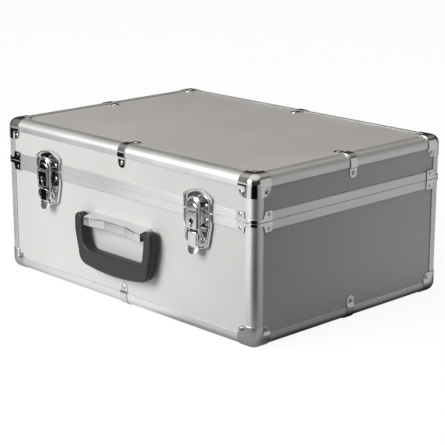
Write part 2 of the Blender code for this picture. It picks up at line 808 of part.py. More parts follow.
def bracket_outline():
    """The bracket from above, in (x, depth): its ends stand out and its middle is set back."""
    near, far = BRACKET_BENDS
    end = BRACKET_HALF_L
    right = [(near, BRACKET_MID), (far, BRACKET_FACE), (end, BRACKET_FACE), (end, BRACKET_BACK)]
    return right + [(-x, depth) for x, depth in reversed(right)]


def bracket_pocket():
    """The hollow behind the bracket's right end, which is open below."""
    end, face, back = BRACKET_HALF_L - BRACKET_WALL, BRACKET_FACE - BRACKET_WALL, BRACKET_BACK + BRACKET_WALL
    return [(BRACKET_POCKET_X, back), (BRACKET_BENDS[1], face), (end, face), (end, back)]


def bracket_prism(loop, low, high):
    mesh = outline_mesh([loop], low, high)
    return moved(turned_to(mesh, X, -Y, Z), (0, -FRAME_D / 2, 0))


def make_bracket():
    low, high = BRACKET_Z
    bracket = place("handle_bracket", bracket_prism(bracket_outline(), low, high), FRAME, finish=CHROME)
    pocket = bracket_pocket()
    mirrored = [(-x, depth) for x, depth in pocket]
    for number, loop in enumerate((pocket, mirrored)):
        cut(bracket, f"pocket_{number}", bracket_prism(loop, low - OVERRUN, high - BRACKET_WALL), FRAME)
    wall = (BRACKET_HALF_L - BRACKET_WALL - OVERRUN, BRACKET_HALF_L + OVERRUN)
    for number, span in enumerate(both_sides(wall)):
        cut(bracket, f"bore_{number}", cross_rod(HANDLE_PIN_R + PIN_GAP, HANDLE_AXIS, *span), FRAME)


def grip_outline():
    """The U of the grip in (x, z): two arms, round corners and a bar with a bowed lower edge."""
    top_r = (GRIP_HALF_W - GRIP_ARM_HALF_IN) / 2
    top = arc((GRIP_HALF_W - top_r, GRIP_TOP_Z - top_r), top_r, 180, 0)
    foot = GRIP_FOOT_HALF_W - GRIP_CORNER_R
    corner_z = GRIP_BOTTOM_Z + GRIP_SAG
    corner = arc((foot, corner_z + GRIP_CORNER_R), GRIP_CORNER_R, 0, -GRIP_CORNER_TURN)
    keel = bow(corner[-1][0], corner[-1][1], GRIP_BOTTOM_Z)[1:-1]
    inner_x = GRIP_ARM_HALF_IN - GRIP_HOLE_R - GRIP_HOLE_SPLAY
    inner = arc((inner_x, GRIP_HOLE_Z + GRIP_HOLE_R), GRIP_HOLE_R, -90, 0)
    right = [*inner, (GRIP_ARM_HALF_IN, GRIP_ARM_FOOT_Z), *top, (GRIP_HALF_W, GRIP_TAPER_Z), *corner]
    left = [(-x, z) for x, z in reversed(right)]
    return right + keel + left


def make_grip():
    pivot = front_point(0, HANDLE_AXIS)
    mesh = front_prism([grip_outline()], GRIP_BACK, GRIP_FACE, bevel=GRIP_EDGE_R)
    grip = place("handle_grip", mesh, FRAME, location=pivot, finish=BLACK_PLASTIC)
    for number, span in enumerate(both_sides((GRIP_ARM_HALF_IN - OVERRUN, GRIP_BORE_END))):
        cut(grip, f"bore_{number}", cross_rod(HANDLE_PIN_R + PIN_GAP, HANDLE_AXIS, *span), FRAME)
    smooth(grip, 40)


def make_handle_pins():
    for name, span in zip(("right", "left"), both_sides(HANDLE_PIN_X)):
        pin = place(f"handle_pin_{name}", cross_rod(HANDLE_PIN_R, HANDLE_AXIS, *span), FRAME, finish=STEEL)
        smooth(pin)


# Rear hinges


def back_box(x_span, depth_span, z_span):
    back = FRAME_D / 2
    low = (x_span[0], back + depth_span[0], z_span[0])
    high = (x_span[1], back + depth_span[1], z_span[1])
    return box_mesh(low, high)


def hinge_rod(radius, x_span, extra=0.0):
    start = Vector((x_span[0] - extra, LID_AXIS.y, LID_AXIS.z))
    end = Vector((x_span[1] + extra, LID_AXIS.y, LID_AXIS.z))
    return cylinder_mesh(radius, start, end)


def make_leaf(name, part, x, up, knuckles):
    """A leaf on the back, with its knuckles round the pin. Up is 1 for the lid and -1 for the body."""
    low = SEAM_GAP / 2 + GAP
    heights = sorted((SEAM_Z + up * low, SEAM_Z + up * HINGE_LEAF_H))
    span = (x - HINGE_W / 2, x + HINGE_W / 2)
    parent = LID if part == "lid" else FRAME
    local = lid_mesh if part == "lid" else (lambda mesh: mesh)
    plate = back_box(span, (GAP, GAP + HINGE_LEAF_T), heights)
    leaf = place(f"hinge_{name}_{part}_leaf", local(plate), parent, finish=STEEL)
    web_z = sorted((SEAM_Z + up * (low + WELD), SEAM_Z + up * HINGE_WEB_Z))
    for number, knuckle in enumerate(knuckles):
        join(leaf, f"knuckle_{number}", local(hinge_rod(KNUCKLE_R, knuckle)), parent)
        web = back_box(knuckle, (GAP + WELD, HINGE_AXIS), web_z)
        join(leaf, f"web_{number}", local(web), parent)
        cut(leaf, f"bore_{number}", local(hinge_rod(KNUCKLE_BORE, knuckle, OVERRUN / 2)), parent)


def make_hinge_pin(name, x):
    half = HINGE_W / 2 + GAP
    pin = place(f"hinge_{name}_pin", hinge_rod(HINGE_PIN_R, (x - half, x + half), WELD), FRAME, finish=STEEL)
    for number, side in enumerate((-1, 1)):
        ends = sorted((x + side * half, x + side * (half + HINGE_HEAD_T)))
        join(pin, f"head_{number}", hinge_rod(HINGE_HEAD_R, ends), FRAME)


def make_hinges():
    for name, sign in SIDES.items():
        x = sign * HINGE_X
        middle = (x - HINGE_MID_W / 2, x + HINGE_MID_W / 2)
        first = (x - HINGE_W / 2, middle[0] - GAP)
        last = (middle[1] + GAP, x + HINGE_W / 2)
        make_leaf(name, "body", x, -1, (first, last))
        make_leaf(name, "lid", x, 1, (middle,))
        make_hinge_pin(name, x)


make_panels()
make_edges()
make_posts()
BRACE = brace_mesh()
make_rim("body", -1, BODY_BAND_H, BRACE)
make_rim("lid", 1, LID_BAND_H, BRACE)
make_caps()
make_linings()
make_latches()
make_bracket()
make_grip()
make_handle_pins()
make_hinges()
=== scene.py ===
"""The looks of the art supply box: pressed chrome fittings, satin aluminium profiles, silver
laminate panels and a black moulded grip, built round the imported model.

Metres. Lengths are counted from the aluminium frame: LOW and HIGH are its corners, and SEAM is the
height where the lid meets the body.
"""

import math

import bmesh
import bpy
from mathutils import Matrix, Vector


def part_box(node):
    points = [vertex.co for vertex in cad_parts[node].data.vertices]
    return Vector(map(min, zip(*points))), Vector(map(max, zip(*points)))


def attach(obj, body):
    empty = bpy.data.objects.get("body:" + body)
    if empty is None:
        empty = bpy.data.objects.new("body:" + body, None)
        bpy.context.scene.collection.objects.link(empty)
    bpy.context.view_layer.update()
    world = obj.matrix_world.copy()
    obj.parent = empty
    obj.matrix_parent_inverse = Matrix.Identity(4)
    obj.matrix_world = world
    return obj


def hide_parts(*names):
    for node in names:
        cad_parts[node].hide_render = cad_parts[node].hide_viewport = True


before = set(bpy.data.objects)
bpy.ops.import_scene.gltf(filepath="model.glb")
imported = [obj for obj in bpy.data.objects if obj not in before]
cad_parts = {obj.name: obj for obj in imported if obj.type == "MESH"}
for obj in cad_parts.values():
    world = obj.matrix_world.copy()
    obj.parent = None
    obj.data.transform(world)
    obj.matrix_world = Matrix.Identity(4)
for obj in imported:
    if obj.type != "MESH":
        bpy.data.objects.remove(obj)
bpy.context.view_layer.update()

MM = 0.001


def mm(*lengths):
    """Lengths in millimetres as a tuple in metres."""
    return tuple(length * MM for length in lengths)


X, Y, Z = Vector((1, 0, 0)), Vector((0, 1, 0)), Vector((0, 0, 1))
SIDES = {"left": -1, "right": 1}
ENDS = {"front": -1, "back": 1}
# Each half: its name, which way it lies from the seam, and its body
HALVES = (("body", -1, "case"), ("lid", 1, "lid"))

# The aluminium frame, found from the corner caps, which stand proud of it
CAP_PROUD = 1.6 * MM
SEAM_GAP = 0.3 * MM
SINK = 0.1 * MM  # keeps the faces of joined parts out of one plane
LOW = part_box("corner_cap_bottom_front_left")[0] + CAP_PROUD * (X + Y + Z)
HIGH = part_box("corner_cap_top_back_right")[1] - CAP_PROUD * (X + Y + Z)
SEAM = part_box("body_post_front_left")[1].z + SEAM_GAP / 2
WIDTH, DEPTH = HIGH.x - LOW.x, HIGH.y - LOW.y
MIDDLE_Y = (LOW.y + HIGH.y) / 2

# The bottom and the top of the box: its name, its body, its height and the way in
LEVELS = (("body", "case", LOW.z, Z), ("lid", "lid", HIGH.z, -Z))

# Profiles; depths are measured inwards from the frame's outside
FLANGE_T = 1.0 * MM
FLANGE_REACH = 14.6 * MM
FRAME_R = 9.0 * MM
PANEL_BACK = 5.3 * MM
PANEL_EDGE = 5.6 * MM
RUN_END = 14.9 * MM
BAND_H = {"lid": 10.5 * MM, "body": 10.75 * MM}
WEB_T = 1.6 * MM
LEG_T = 1.2 * MM
LEG_H = 8.0 * MM
TONGUE_T = 1.0 * MM
TONGUE_GAP = 0.4 * MM
TONGUE_RISE = 4.0 * MM
RIDGES = 5
RIDGE_DEPTH = 0.07 * MM

# Pressed fittings; heights are measured outwards from the frame's outside
CAP_H = 1.3 * MM
CAP_SEAT_H = -0.1 * MM
CAP_SEAT = 17.0 * MM
CAP_SLOPE = 3.2 * MM
CAP_T = 1.15 * MM
CAP_REACH = 25.5 * MM
CAP_ROUND = 12.5 * MM
CAP_POWER = 2.4
CAP_EAR_R = 9.0 * MM
CAP_RIVET = 20.4 * MM
BRACE_H = 1.1 * MM
BRACE_T = 0.8 * MM
BRACE_REACH = 27.4 * MM
BRACE_STEP = mm(13.8, 16.0)
BRACE_SWEEP = 1.3
BRACE_LOW = 0.35 * MM
BRACE_BAND = 4.15 * MM
BRACE_EAR = {"lid": 12.2 * MM, "body": 12.0 * MM}
BRACE_EAR_R = 2.6 * MM
BRACE_RIVET_SUNK = 0.65 * MM
BRACE_RIVET = {"lid": mm(21.8, 8.3), "body": mm(21.8, 7.8)}
CLIP_H = 1.1 * MM
CLIP_SEAT_H = -0.35 * MM
CLIP_T = 0.8 * MM
CLIP_HALF_W = 6.0 * MM
CLIP_SHIFT = 2.5 * MM
CLIP_JOGGLE = 2.8 * MM
CLIP_TIP_SQUARED = 0.02 * MM * MM
CLIP_RIVETS = mm(21.9, 24.3)
RIVET_R = 3.0 * MM
RIVET_H = 1.1 * MM
# The dome in shares of its radius and height
RIVET_DOME = ((1, -0.35), (1, 0.05), (0.96, 0.28), (0.84, 0.55), (0.64, 0.78), (0.36, 0.94), (0.12, 1))
STRIP_EDGE = 0.22 * MM
SHEET_EDGE = 0.3 * MM

# Latches, in heights above the frame's bottom and depths outwards from its front
LATCH_X = 139.3 * MM
PLATE_BACK = 0.3 * MM
PLATE_FLOOR = 1.5 * MM
PLATE_CREST = 4.6 * MM
PLATE_HALF_W = 22.5 * MM
CATCH_Z = mm(147.2, 163.5, 171.5)
BASE_Z = mm(145.2, 129.0, 105.5, 100.5)
BASE_FOOT_HALF_W = 17.0 * MM
# Half the taper's height, its step in, and the share of an inset that the foot takes
BASE_TAPER = (1.5 * MM, 0.5 * MM, 0.8)
LATCH_RIVET_X = 13.6 * MM
LATCH_RIVET_Z = {"body": 136.5 * MM, "lid": 153.5 * MM}
NOSE_HALF_W = 7.0 * MM
NOSE_Z = mm(151.0, 157.0)
LUG_X = mm(7.0, 8.5)
LUG_R = 2.8 * MM
LEVER_AXIS = mm(5.6, 122.0)
HASP_AXIS = mm(7.0, 114.0)
PIN_R = 1.3 * MM
PIN_EDGE = 0.25 * MM
UPPER_PIN_X = mm(8.7, 10.4)
LOWER_PIN_X = 12.4 * MM
HASP_HALF_W = 12.0 * MM
HASP_Z = mm(152.5, 164.0)
HASP_BACK = 7.3 * MM
HASP_FACE = 10.2 * MM
BAR_W = 2.7 * MM
BAR_Z = mm(117.0, 130.0, 144.0)
BAR_POWER = 0.7
# How far in from the hasp's outline, and the height of the foot
ARCH_WEB = mm(1.3, 125.0)
ARCH_STEP = mm(2.9, 147.2)
EAR_X = mm(10.6, 12.0)
EAR_Z = mm(122.0, 128.0)
EAR_R = 4.0 * MM
EAR_EDGE = 0.4 * MM
EAR_FACE = HASP_FACE - 0.3 * MM
BLOCK_HALF_W = 8.4 * MM
BLOCK_Z = mm(126.5, 145.6)
PAD_HALF_W = 8.2 * MM
PAD_Z = mm(148.0, 151.5, 156.0)
LOCK_Z = 135.2 * MM
LOCK_R = 3.4 * MM
PLUG_R = LOCK_R - 0.15 * MM
CORE_R = LOCK_R - 0.3 * MM
LOCK_SLOT = (0.45 * MM, LOCK_Z - 2.0 * MM, LOCK_Z + 2.0 * MM)
KEYHOLE_HALF_W = 0.95 * MM
KEYHOLE_DROP = 6.6 * MM
NECK_HALF_W = 6.5 * MM
NECK_Z = mm(107.6, 122.4)
CHEEK_X = mm(8.8, 10.2)
CHEEK_Z = mm(111.0, 121.0)
CHEEK_FACE = 11.4 * MM
CHEEK_R = 3.2 * MM
CHEEK_EDGE = 0.35 * MM
YOKE = mm(10.0, 111.5, 120.5)
TAB_HALF_W = 9.1 * MM
TAB_SIDE = 1.4 * MM
TAB_T = 1.3 * MM
TAB_DEPTH = 10.4 * MM
TAB_STEP = 1.6 * MM
TAB_CROWN = 1.5 * MM
TAB_LEAN = 0.27
TAB_Z = mm(96.3, 104.2, 108.6)

# The back, the face and the rounding of the latches' flat pieces
NOSE_DEPTH = (PLATE_FLOOR - SINK, 6.4 * MM, 0.6 * MM)
WEB_DEPTH = mm(7.6, 9.0, 0.2)
STEP_DEPTH = mm(8.8, 10.3, 0.5)
PAD_DEPTH = mm(8.8, 11.4, 0.6)
BLOCK_DEPTH = mm(8.9, 12.4, 0.55)
NECK_DEPTH = mm(9.4, 11.2, 0.5)
YOKE_DEPTH = mm(9.0, 10.3, 0.3)
PLUG_DEPTH = mm(9.6, 11.2, 0.2)
CORE_DEPTH = mm(9.1, 9.7, 0.1)

# Handle
BRACKET_HALF_L = 54.0 * MM
BRACKET_BENDS = mm(20.0, 42.0)
BRACKET_MID = 11.5 * MM
BRACKET_FACE = 15.7 * MM
BRACKET_BACK = -1.0 * MM
BRACKET_Z = mm(93.0, 103.5)
BRACKET_RISE = 3.4 * MM
BRACKET_MID_RISE = 1.9 * MM
BRACKET_SOFT = 0.7 * MM
GRIP_DEPTH = mm(2.0, 16.0)
GRIP_EDGE_R = 3.2 * MM
GRIP_HALF_W = 72.0 * MM
GRIP_FOOT_HALF_W = 66.0 * MM
GRIP_IN = 57.6 * MM
GRIP_TOP_Z = 106.6 * MM
GRIP_TAPER_Z = 84.0 * MM
GRIP_ARM_FOOT_Z = 88.0 * MM
GRIP_BOTTOM_Z = 37.5 * MM
GRIP_CORNER_R = 17.0 * MM
GRIP_SAG = 4.0 * MM
GRIP_HOLE_Z = 62.5 * MM
GRIP_HOLE_R = 13.0 * MM
GRIP_HOLE_INSET = 2.0 * MM

# Rear hinges; depths are measured outwards from the frame's back
HINGE_X = 130.0 * MM
HINGE_W = 50.0 * MM
HINGE_AXIS = 4.4 * MM
HINGE_LEAF_H = 21.0 * MM
HINGE_LEAF = mm(0.3, 1.2)
HINGE_MID_W = 18.0 * MM
HINGE_GAP = 0.3 * MM
HINGE_LEAF_R = 4.0 * MM
HINGE_LEAF_LOW = 0.45 * MM
HINGE_WEB = mm(0.5, 2.4)
HINGE_RIVET_X = 18.0 * MM
HINGE_RIVET_Z = 14.5 * MM
KNUCKLE_R = 3.0 * MM
KNUCKLE_EDGE = 0.3 * MM
HINGE_PIN_R = 2.4 * MM
HINGE_PIN_HEAD = 0.8 * MM

# Linings
LINING_GAP = 0.3 * MM
LINING_R = 3.0 * MM
LINING_FOOT = ((1.0, 5.0), (1.6, 2.8), (3.2, 1.3), (6.0, 1.0))  # in from the side and up, in millimetres

FINE = 0.001 * MM


# Materials


def feed(tree, made, values):
    """Sets a node's inputs to numbers or to other nodes' outputs."""
    for key, value in values.items():
        if isinstance(value, bpy.types.NodeSocket):
            tree.links.new(value, made.inputs[key])
        else:
            made.inputs[key].default_value = value


def node(tree, kind, values=(), **settings):
    """A shader node with its settings and its inputs."""
    made = tree.nodes.new(kind)
    for key, value in settings.items():
        setattr(made, key, value)
    feed(tree, made, dict(values))
    return made


def noise(tree, scale, detail=3.0, stretch=(1, 1, 1), roughness=0.5):
    """Noise with its scale in cells per metre; stretch draws the cells out."""
    place = node(tree, "ShaderNodeTexCoord").outputs["Object"]
    values = {"Vector": place, "Scale": [scale / part for part in stretch]}
    mapped = node(tree, "ShaderNodeMapping", values).outputs["Vector"]
    values = {"Vector": mapped, "Scale": 1.0, "Detail": detail, "Roughness": roughness}
    return node(tree, "ShaderNodeTexNoise", values).outputs["Fac"]


def between(tree, factor, low, high):
    """Noise, which mostly lies between 0.3 and 0.7, stretched to a range."""
    values = {"Value": factor, "From Min": 0.3, "From Max": 0.7, "To Min": low, "To Max": high}
    return node(tree, "ShaderNodeMapRange", values).outputs["Result"]


def mixed(tree, factor, first, second, blend="MIX"):
    """Two colours mixed; in a Mix node, inputs 6 and 7 and output 2 are the colours."""
    values = {0: factor, 6: first, 7: second}
    return node(tree, "ShaderNodeMix", values, data_type="RGBA", blend_type=blend).outputs[2]


def blotched(tree, cloud, first, second):
    """Two colours mixed by noise."""
    return mixed(tree, between(tree, cloud, 0, 1), (*first, 1), (*second, 1))


def bumped(tree, height, distance, normal=None):
    """A normal that noise pushes in and out by a distance."""
    values = {"Height": height, "Distance": distance, "Strength": 1.0}
    if normal:
        values["Normal"] = normal
    return node(tree, "ShaderNodeBump", values).outputs["Normal"]


def new_material(name):
    made = bpy.data.materials.new(name)
    made.use_nodes = True
    tree = made.node_tree
    return made, tree, tree.nodes["Principled BSDF"]


def wire(tree, shader, **values):
    """Sets a shader's inputs, with underscores for spaces in their names."""
    feed(tree, shader, {key.replace("_", " "): value for key, value in values.items()})


def laminate():
    """Silver-grey plastic laminate with a very fine orange-peel surface."""
    made, tree, shader = new_material("silver_laminate")
    broad = noise(tree, 9, 2)
    speck = noise(tree, 1400, 2)
    tone = blotched(tree, broad, (0.605, 0.60, 0.59), (0.635, 0.63, 0.62))
    grain = blotched(tree, speck, (0.97, 0.97, 0.97), (1.03, 1.03, 1.03))
    peel = bumped(tree, noise(tree, 700, 3), 0.012 * MM)
    wire(tree, shader, Base_Color=mixed(tree, 1.0, tone, grain, "MULTIPLY"), Normal=peel)
    wire(tree, shader, Roughness=between(tree, broad, 0.36, 0.44))
    return made


def aluminium(axis):
    """Satin anodised aluminium, with extrusion lines along one axis."""
    made, tree, shader = new_material(f"satin_aluminium_{axis}")
    stretch = {"x": (400, 1, 1), "y": (1, 400, 1), "z": (1, 1, 400)}[axis]
    lines = noise(tree, 2600, 4, stretch)
    cloud = noise(tree, 14, 3)
    tone = blotched(tree, lines, (0.80, 0.805, 0.81), (0.88, 0.885, 0.89))
    wire(tree, shader, Base_Color=tone, Metallic=1.0, Normal=bumped(tree, lines, 0.006 * MM))
    wire(tree, shader, Roughness=between(tree, cloud, 0.47, 0.53))
    return made


def chrome():
    """Polished chrome on pressed sheet: slightly wavy, with faint smears and hairline scratches."""
    made, tree, shader = new_material("polished_chrome")
    wave = bumped(tree, noise(tree, 110, 1), 0.03 * MM)
    scratch = noise(tree, 3800, 2, (30, 1, 6))
    worn = bumped(tree, scratch, 0.0012 * MM, normal=wave)
    smear = noise(tree, 60, 4)
    tone = blotched(tree, smear, (0.80, 0.805, 0.815), (0.87, 0.87, 0.875))
    wire(tree, shader, Base_Color=tone, Metallic=1.0, Normal=worn)
    wire(tree, shader, Roughness=between(tree, smear, 0.07, 0.13))
    return made


def tinted_metal(name, first, second, roughness, scale=300):
    """A plain turned or stamped metal with uneven colour."""
    made, tree, shader = new_material(name)
    stain = noise(tree, scale, 4)
    wire(tree, shader, Base_Color=blotched(tree, stain, first, second), Metallic=1.0)
    wire(tree, shader, Roughness=between(tree, stain, roughness, roughness + 0.08))
    wire(tree, shader, Normal=bumped(tree, noise(tree, 2500, 2), 0.004 * MM))
    return made


def black_plastic():
    """Moulded black plastic with a fine spark-eroded texture, worn a little smoother in patches."""
    made, tree, shader = new_material("black_plastic")
    pits = noise(tree, 2300, 3, roughness=0.6)
    rubbed = noise(tree, 25, 3)
    tone = blotched(tree, pits, (0.020, 0.0195, 0.020), (0.033, 0.032, 0.033))
    wire(tree, shader, Base_Color=tone, Normal=bumped(tree, pits, 0.03 * MM))
    wire(tree, shader, Roughness=between(tree, rubbed, 0.42, 0.52))
    return made


def lining_felt():
    """Charcoal felt with a short nap."""
    made, tree, shader = new_material("lining_felt")
    nap = noise(tree, 1500, 5, roughness=0.7)
    tone = blotched(tree, nap, (0.016, 0.016, 0.018), (0.045, 0.045, 0.05))
    wire(tree, shader, Base_Color=tone, Normal=bumped(tree, nap, 0.25 * MM))
    wire(tree, shader, Roughness=0.95, Sheen_Weight=0.4, Sheen_Roughness=0.5)
    return made


LAMINATE = laminate()
ALUMINIUM = {axis: aluminium(axis) for axis in "xyz"}
CHROME = chrome()
RIVET = tinted_metal("rivet_nickel", (0.52, 0.45, 0.40), (0.68, 0.61, 0.56), 0.14)
BRASS = tinted_metal("brass_pin", (0.62, 0.40, 0.16), (0.80, 0.58, 0.28), 0.20)
ZINC = tinted_metal("zinc_steel", (0.52, 0.52, 0.53), (0.66, 0.66, 0.67), 0.28, 80)
# Dark lock steel; it also paints shade on the middle of the upper latch pins, behind the levers' necks
LOCK_STEEL_AND_PIN_SHADE = tinted_metal("lock_steel_and_pin_shade", (0.05, 0.05, 0.05), (0.12, 0.12, 0.12), 0.35)
BLACK = black_plastic()
FELT = lining_felt()


# Meshes


def linked(name, data):
    """A new object in the scene."""
    made = bpy.data.objects.new(name, data)
    bpy.context.scene.collection.objects.link(made)
    return made


def applied(guide):
    """The mesh that an object makes with its modifiers; the object goes."""
    graph = bpy.context.evaluated_depsgraph_get()
    made = bpy.data.meshes.new_from_object(guide.evaluated_get(graph))
    bpy.data.objects.remove(guide)
    return made


def mesh_of(bm, name):
    """A bmesh as a mesh; the bmesh goes."""
    mesh = bpy.data.meshes.new(name)
    bm.to_mesh(mesh)
    bm.free()
    return mesh


def smoothed(mesh, angle):
    """A mesh with its rounds smooth and its edges over an angle sharp."""
    mesh.shade_smooth()
    mesh.set_sharp_from_angle(angle=math.radians(angle))
    return mesh


def finished(bm, angle=30):
    """The mesh of a bmesh, with its doubles merged, its faces turned out and its rounds smooth."""
    bmesh.ops.remove_doubles(bm, verts=bm.verts, dist=FINE)
    bmesh.ops.recalc_face_normals(bm, faces=bm.faces)
    return smoothed(mesh_of(bm, "piece"), angle)


def arc(centre, radius, start, end, steps):
    """Points on an arc from start to end, in degrees."""
    points = []
    for step in range(steps + 1):
        angle = math.radians(start + (end - start) * step / steps)
        points.append((centre[0] + radius * math.cos(angle), centre[1] + radius * math.sin(angle)))
    return points


def bow(half_width, side, crown, steps=16):
    """Points from the right to the left end of a shallow arch through (0, crown)."""
    rise = crown - side
    radius = (half_width**2 + rise**2) / (2 * rise)
    size = abs(radius)
    spread = math.asin(min(1, half_width / size))
    points = []
    for step in range(steps + 1):
        angle = spread * (1 - 2 * step / steps)
        points.append((size * math.sin(angle), crown - radius + radius * math.cos(angle)))
    return points


def mirrored(points):
    return [(-x, y) for x, y in reversed(points)]


def smoothstep(value):
    value = min(1, max(0, value))
    return value * value * (3 - 2 * value)


def loft(rings, ends=True, ring_loop=True, chain_loop=False, bm=None):
    """A bmesh, or more of one, of faces between successive rings of points, with its ends filled."""
    if bm is None:
        bm = bmesh.new()
    rows = [[bm.verts.new(point) for point in ring] for ring in rings]
    pairs = list(zip(rows, rows[1:]))
    if chain_loop:
        pairs.append((rows[-1], rows[0]))
    for first, second in pairs:
        count = len(first)
        for index in range(count if ring_loop else count - 1):
            after = (index + 1) % count
            bm.faces.new((first[index], first[after], second[after], second[index]))
    if ends and not chain_loop:
        bm.faces.new(rows[0])
        bm.faces.new(rows[-1])
    return bm


def laid(mesh, origin, along_x, along_y, along_z):
    """A copy of a mesh with its axes laid along three directions from an origin."""
    turn = Matrix((along_x, along_y, along_z)).transposed()
    copy = mesh.copy()
    copy.transform(Matrix.Translation(origin) @ turn.to_4x4())
    if turn.determinant() < 0:
        copy.flip_normals()
    return copy


def run_mesh(section, length):
    """A section of (u, v) run along w, centred on zero."""
    rings = [[(u, v, w) for u, v in section] for w in (-length / 2, length / 2)]
    return finished(loft(rings), 20)


def turned(start, along, profile, segments, angle):
    """A profile of (radius, height) turned round a line from a start."""
    turn = along.to_track_quat("Z", "Y").to_matrix()
    circle = arc((0, 0), 1, 0, 360, segments)[:-1]
    rings = [[start + turn @ Vector((r * x, r * y, h)) for x, y in circle] for r, h in profile]
    return finished(loft(rings), angle)


def rod_mesh(radius, start, end, edge=PIN_EDGE, segments=24):
    """A rod from start to end with rounded rims."""
    length = (end - start).length
    profile = ((radius - edge, 0), (radius, edge), (radius, length - edge), (radius - edge, length))
    return turned(start, (end - start).normalized(), profile, segments, 50)


def outline_solid(loops, low, high, bevel, steps=3):
    """Closed loops of (x, y) filled from z = low to z = high, with rounded edges."""
    curve = bpy.data.curves.new("outline", "CURVE")
    curve.dimensions = "2D"
    curve.fill_mode = "BOTH"
    curve.extrude = (high - low) / 2 - bevel
    curve.bevel_depth = bevel
    curve.bevel_resolution = steps
    curve.offset = -bevel
    for loop in loops:
        spline = curve.splines.new("POLY")
        spline.points.add(len(loop) - 1)
        for point, (x, y) in zip(spline.points, loop):
            point.co = (x, y, 0, 1)
        spline.use_cyclic_u = True
    bm = bmesh.new()
    bm.from_mesh(applied(linked("outline", curve)))
    bmesh.ops.translate(bm, verts=bm.verts, vec=(0, 0, (low + high) / 2))
    return finished(bm, 40)


def joined(meshes, angle=35):
    """Several meshes as one, each keeping its own material number."""
    bm = bmesh.new()
    for mesh in meshes:
        bm.from_mesh(mesh)
    return smoothed(mesh_of(bm, "piece"), angle)


PIECES = []


def piece(name, mesh, body, looks, replaces=()):
    """An object that rides on a body and stands for the named nodes."""
    mesh.name = name
    for look in looks if isinstance(looks, list) else [looks]:
        mesh.materials.append(look)
    made = linked(name, mesh)
    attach(made, body)
    if replaces:
        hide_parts(*replaces)
    PIECES.append(made)
    return made


def stand_in(name, suffix, mesh, body, looks):
    """A piece that stands for the node of one name."""
    return piece(f"{name}_{suffix}", mesh, body, looks, [name])


def flatten_shading():
    """Keeps the flat faces flat in shading, so that only the rounds between them shade smoothly."""
    for made in PIECES:
        made.modifiers.new("normals", "WEIGHTED_NORMAL").keep_sharp = True


def thickened(made, thickness, edge):
    """Gives a sheet its thickness, inwards, and rounds the edges of its rim."""
    wall = made.modifiers.new("thickness", "SOLIDIFY")
    wall.thickness = thickness
    wall.offset = -1
    wall.use_even_offset = True
    soft = made.modifiers.new("edge", "BEVEL")
    soft.width = edge
    soft.segments = 2
    soft.limit_method = "ANGLE"
    soft.angle_limit = math.radians(55)
    soft.harden_normals = True


# Kept nodes


def dress_kept():
    """The panels and the handle's pins keep their own meshes."""
    for name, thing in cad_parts.items():
        if name.endswith("_panel") or name.startswith("handle_pin"):
            thing.data.materials.clear()
            thing.data.materials.append(LAMINATE if name.endswith("_panel") else ZINC)


# Edge profiles and posts


def profile_section():
    """The quarter-round profile in (u, v), counted inwards, with rounded flange tips."""
    tip = FLANGE_T / 2
    first_tip = arc((FLANGE_REACH - tip, tip), tip, 90, -90, 6)
    corner = arc((FRAME_R, FRAME_R), FRAME_R, 270, 180, 16)
    last_tip = arc((tip, FLANGE_REACH - tip), tip, 180, 0, 6)
    inner = [(FLANGE_T, PANEL_BACK), (PANEL_BACK, PANEL_BACK), (PANEL_BACK, FLANGE_T)]
    return [*first_tip, *corner, *last_tip, *inner]


def walls(height):
    """Each wall of the frame: its name, its middle at a height, the ways in and along, and its axis."""
    for end, sign in ENDS.items():
        yield end, Vector((0, HIGH.y if sign > 0 else LOW.y, height)), -sign * Y, X, "x"
    for side, sign in SIDES.items():
        yield side, Vector((HIGH.x if sign > 0 else LOW.x, MIDDLE_Y, height)), -sign * X, Y, "y"


def wall_runs(section):
    """A section run along each axis, clear of the profiles at the corners."""
    return {"x": run_mesh(section, WIDTH - 2 * RUN_END), "y": run_mesh(section, DEPTH - 2 * RUN_END)}


def make_edges():
    runs = wall_runs(profile_section())
    for part, body, height, upright in LEVELS:
        for wall, origin, inside, along, axis in walls(height):
            mesh = laid(runs[axis], origin, inside, upright, along)
            stand_in(f"{part}_edge_{wall}", "profile", mesh, body, ALUMINIUM[axis])


def corner_point(x_sign, y_sign, z):
    return Vector((HIGH.x if x_sign > 0 else LOW.x, HIGH.y if y_sign > 0 else LOW.y, z))


def corners():
    """Each corner of the frame seen from above: its name and its signs in x and y."""
    for end, y_sign in ENDS.items():
        for side, x_sign in SIDES.items():
            yield f"{end}_{side}", x_sign, y_sign


def make_posts():
    section = profile_section()
    for part, body, level, inward in LEVELS:
        start, end = level + inward.z * RUN_END, SEAM - inward.z * SEAM_GAP / 2
        post = run_mesh(section, abs(end - start))
        for corner, x_sign, y_sign in corners():
            origin = corner_point(x_sign, y_sign, (start + end) / 2)
            mesh = laid(post, origin, -x_sign * X, -y_sign * Y, Z)
            stand_in(f"{part}_post_{corner}", "profile", mesh, body, ALUMINIUM["z"])


# Rim profiles on either side of the seam


def band_section(band_h):
    """A rim bar in (depth, height): a ridged band outside and a web under the panel's edge."""
    low, tip = SEAM_GAP / 2, FLANGE_T / 2
    round_low = arc((tip, low + tip), tip, 270, 180, 4)
    ridged = []
    pitch = (band_h - low - 2 * FLANGE_T) / RIDGES
    for number in range(RIDGES):
        centre = low + FLANGE_T + pitch * (number + 0.5)
        for step, depth in ((-0.36, 0), (-0.14, RIDGE_DEPTH), (0.14, RIDGE_DEPTH), (0.36, 0)):
            ridged.append((depth, centre + step * pitch))
    round_high = arc((tip, band_h - tip), tip, 180, 0, 6)
    web, deep = low + WEB_T, PANEL_EDGE + LEG_T / 2
    return [*round_low, *ridged, *round_high, (FLANGE_T, web), (deep, web), (deep, low)]


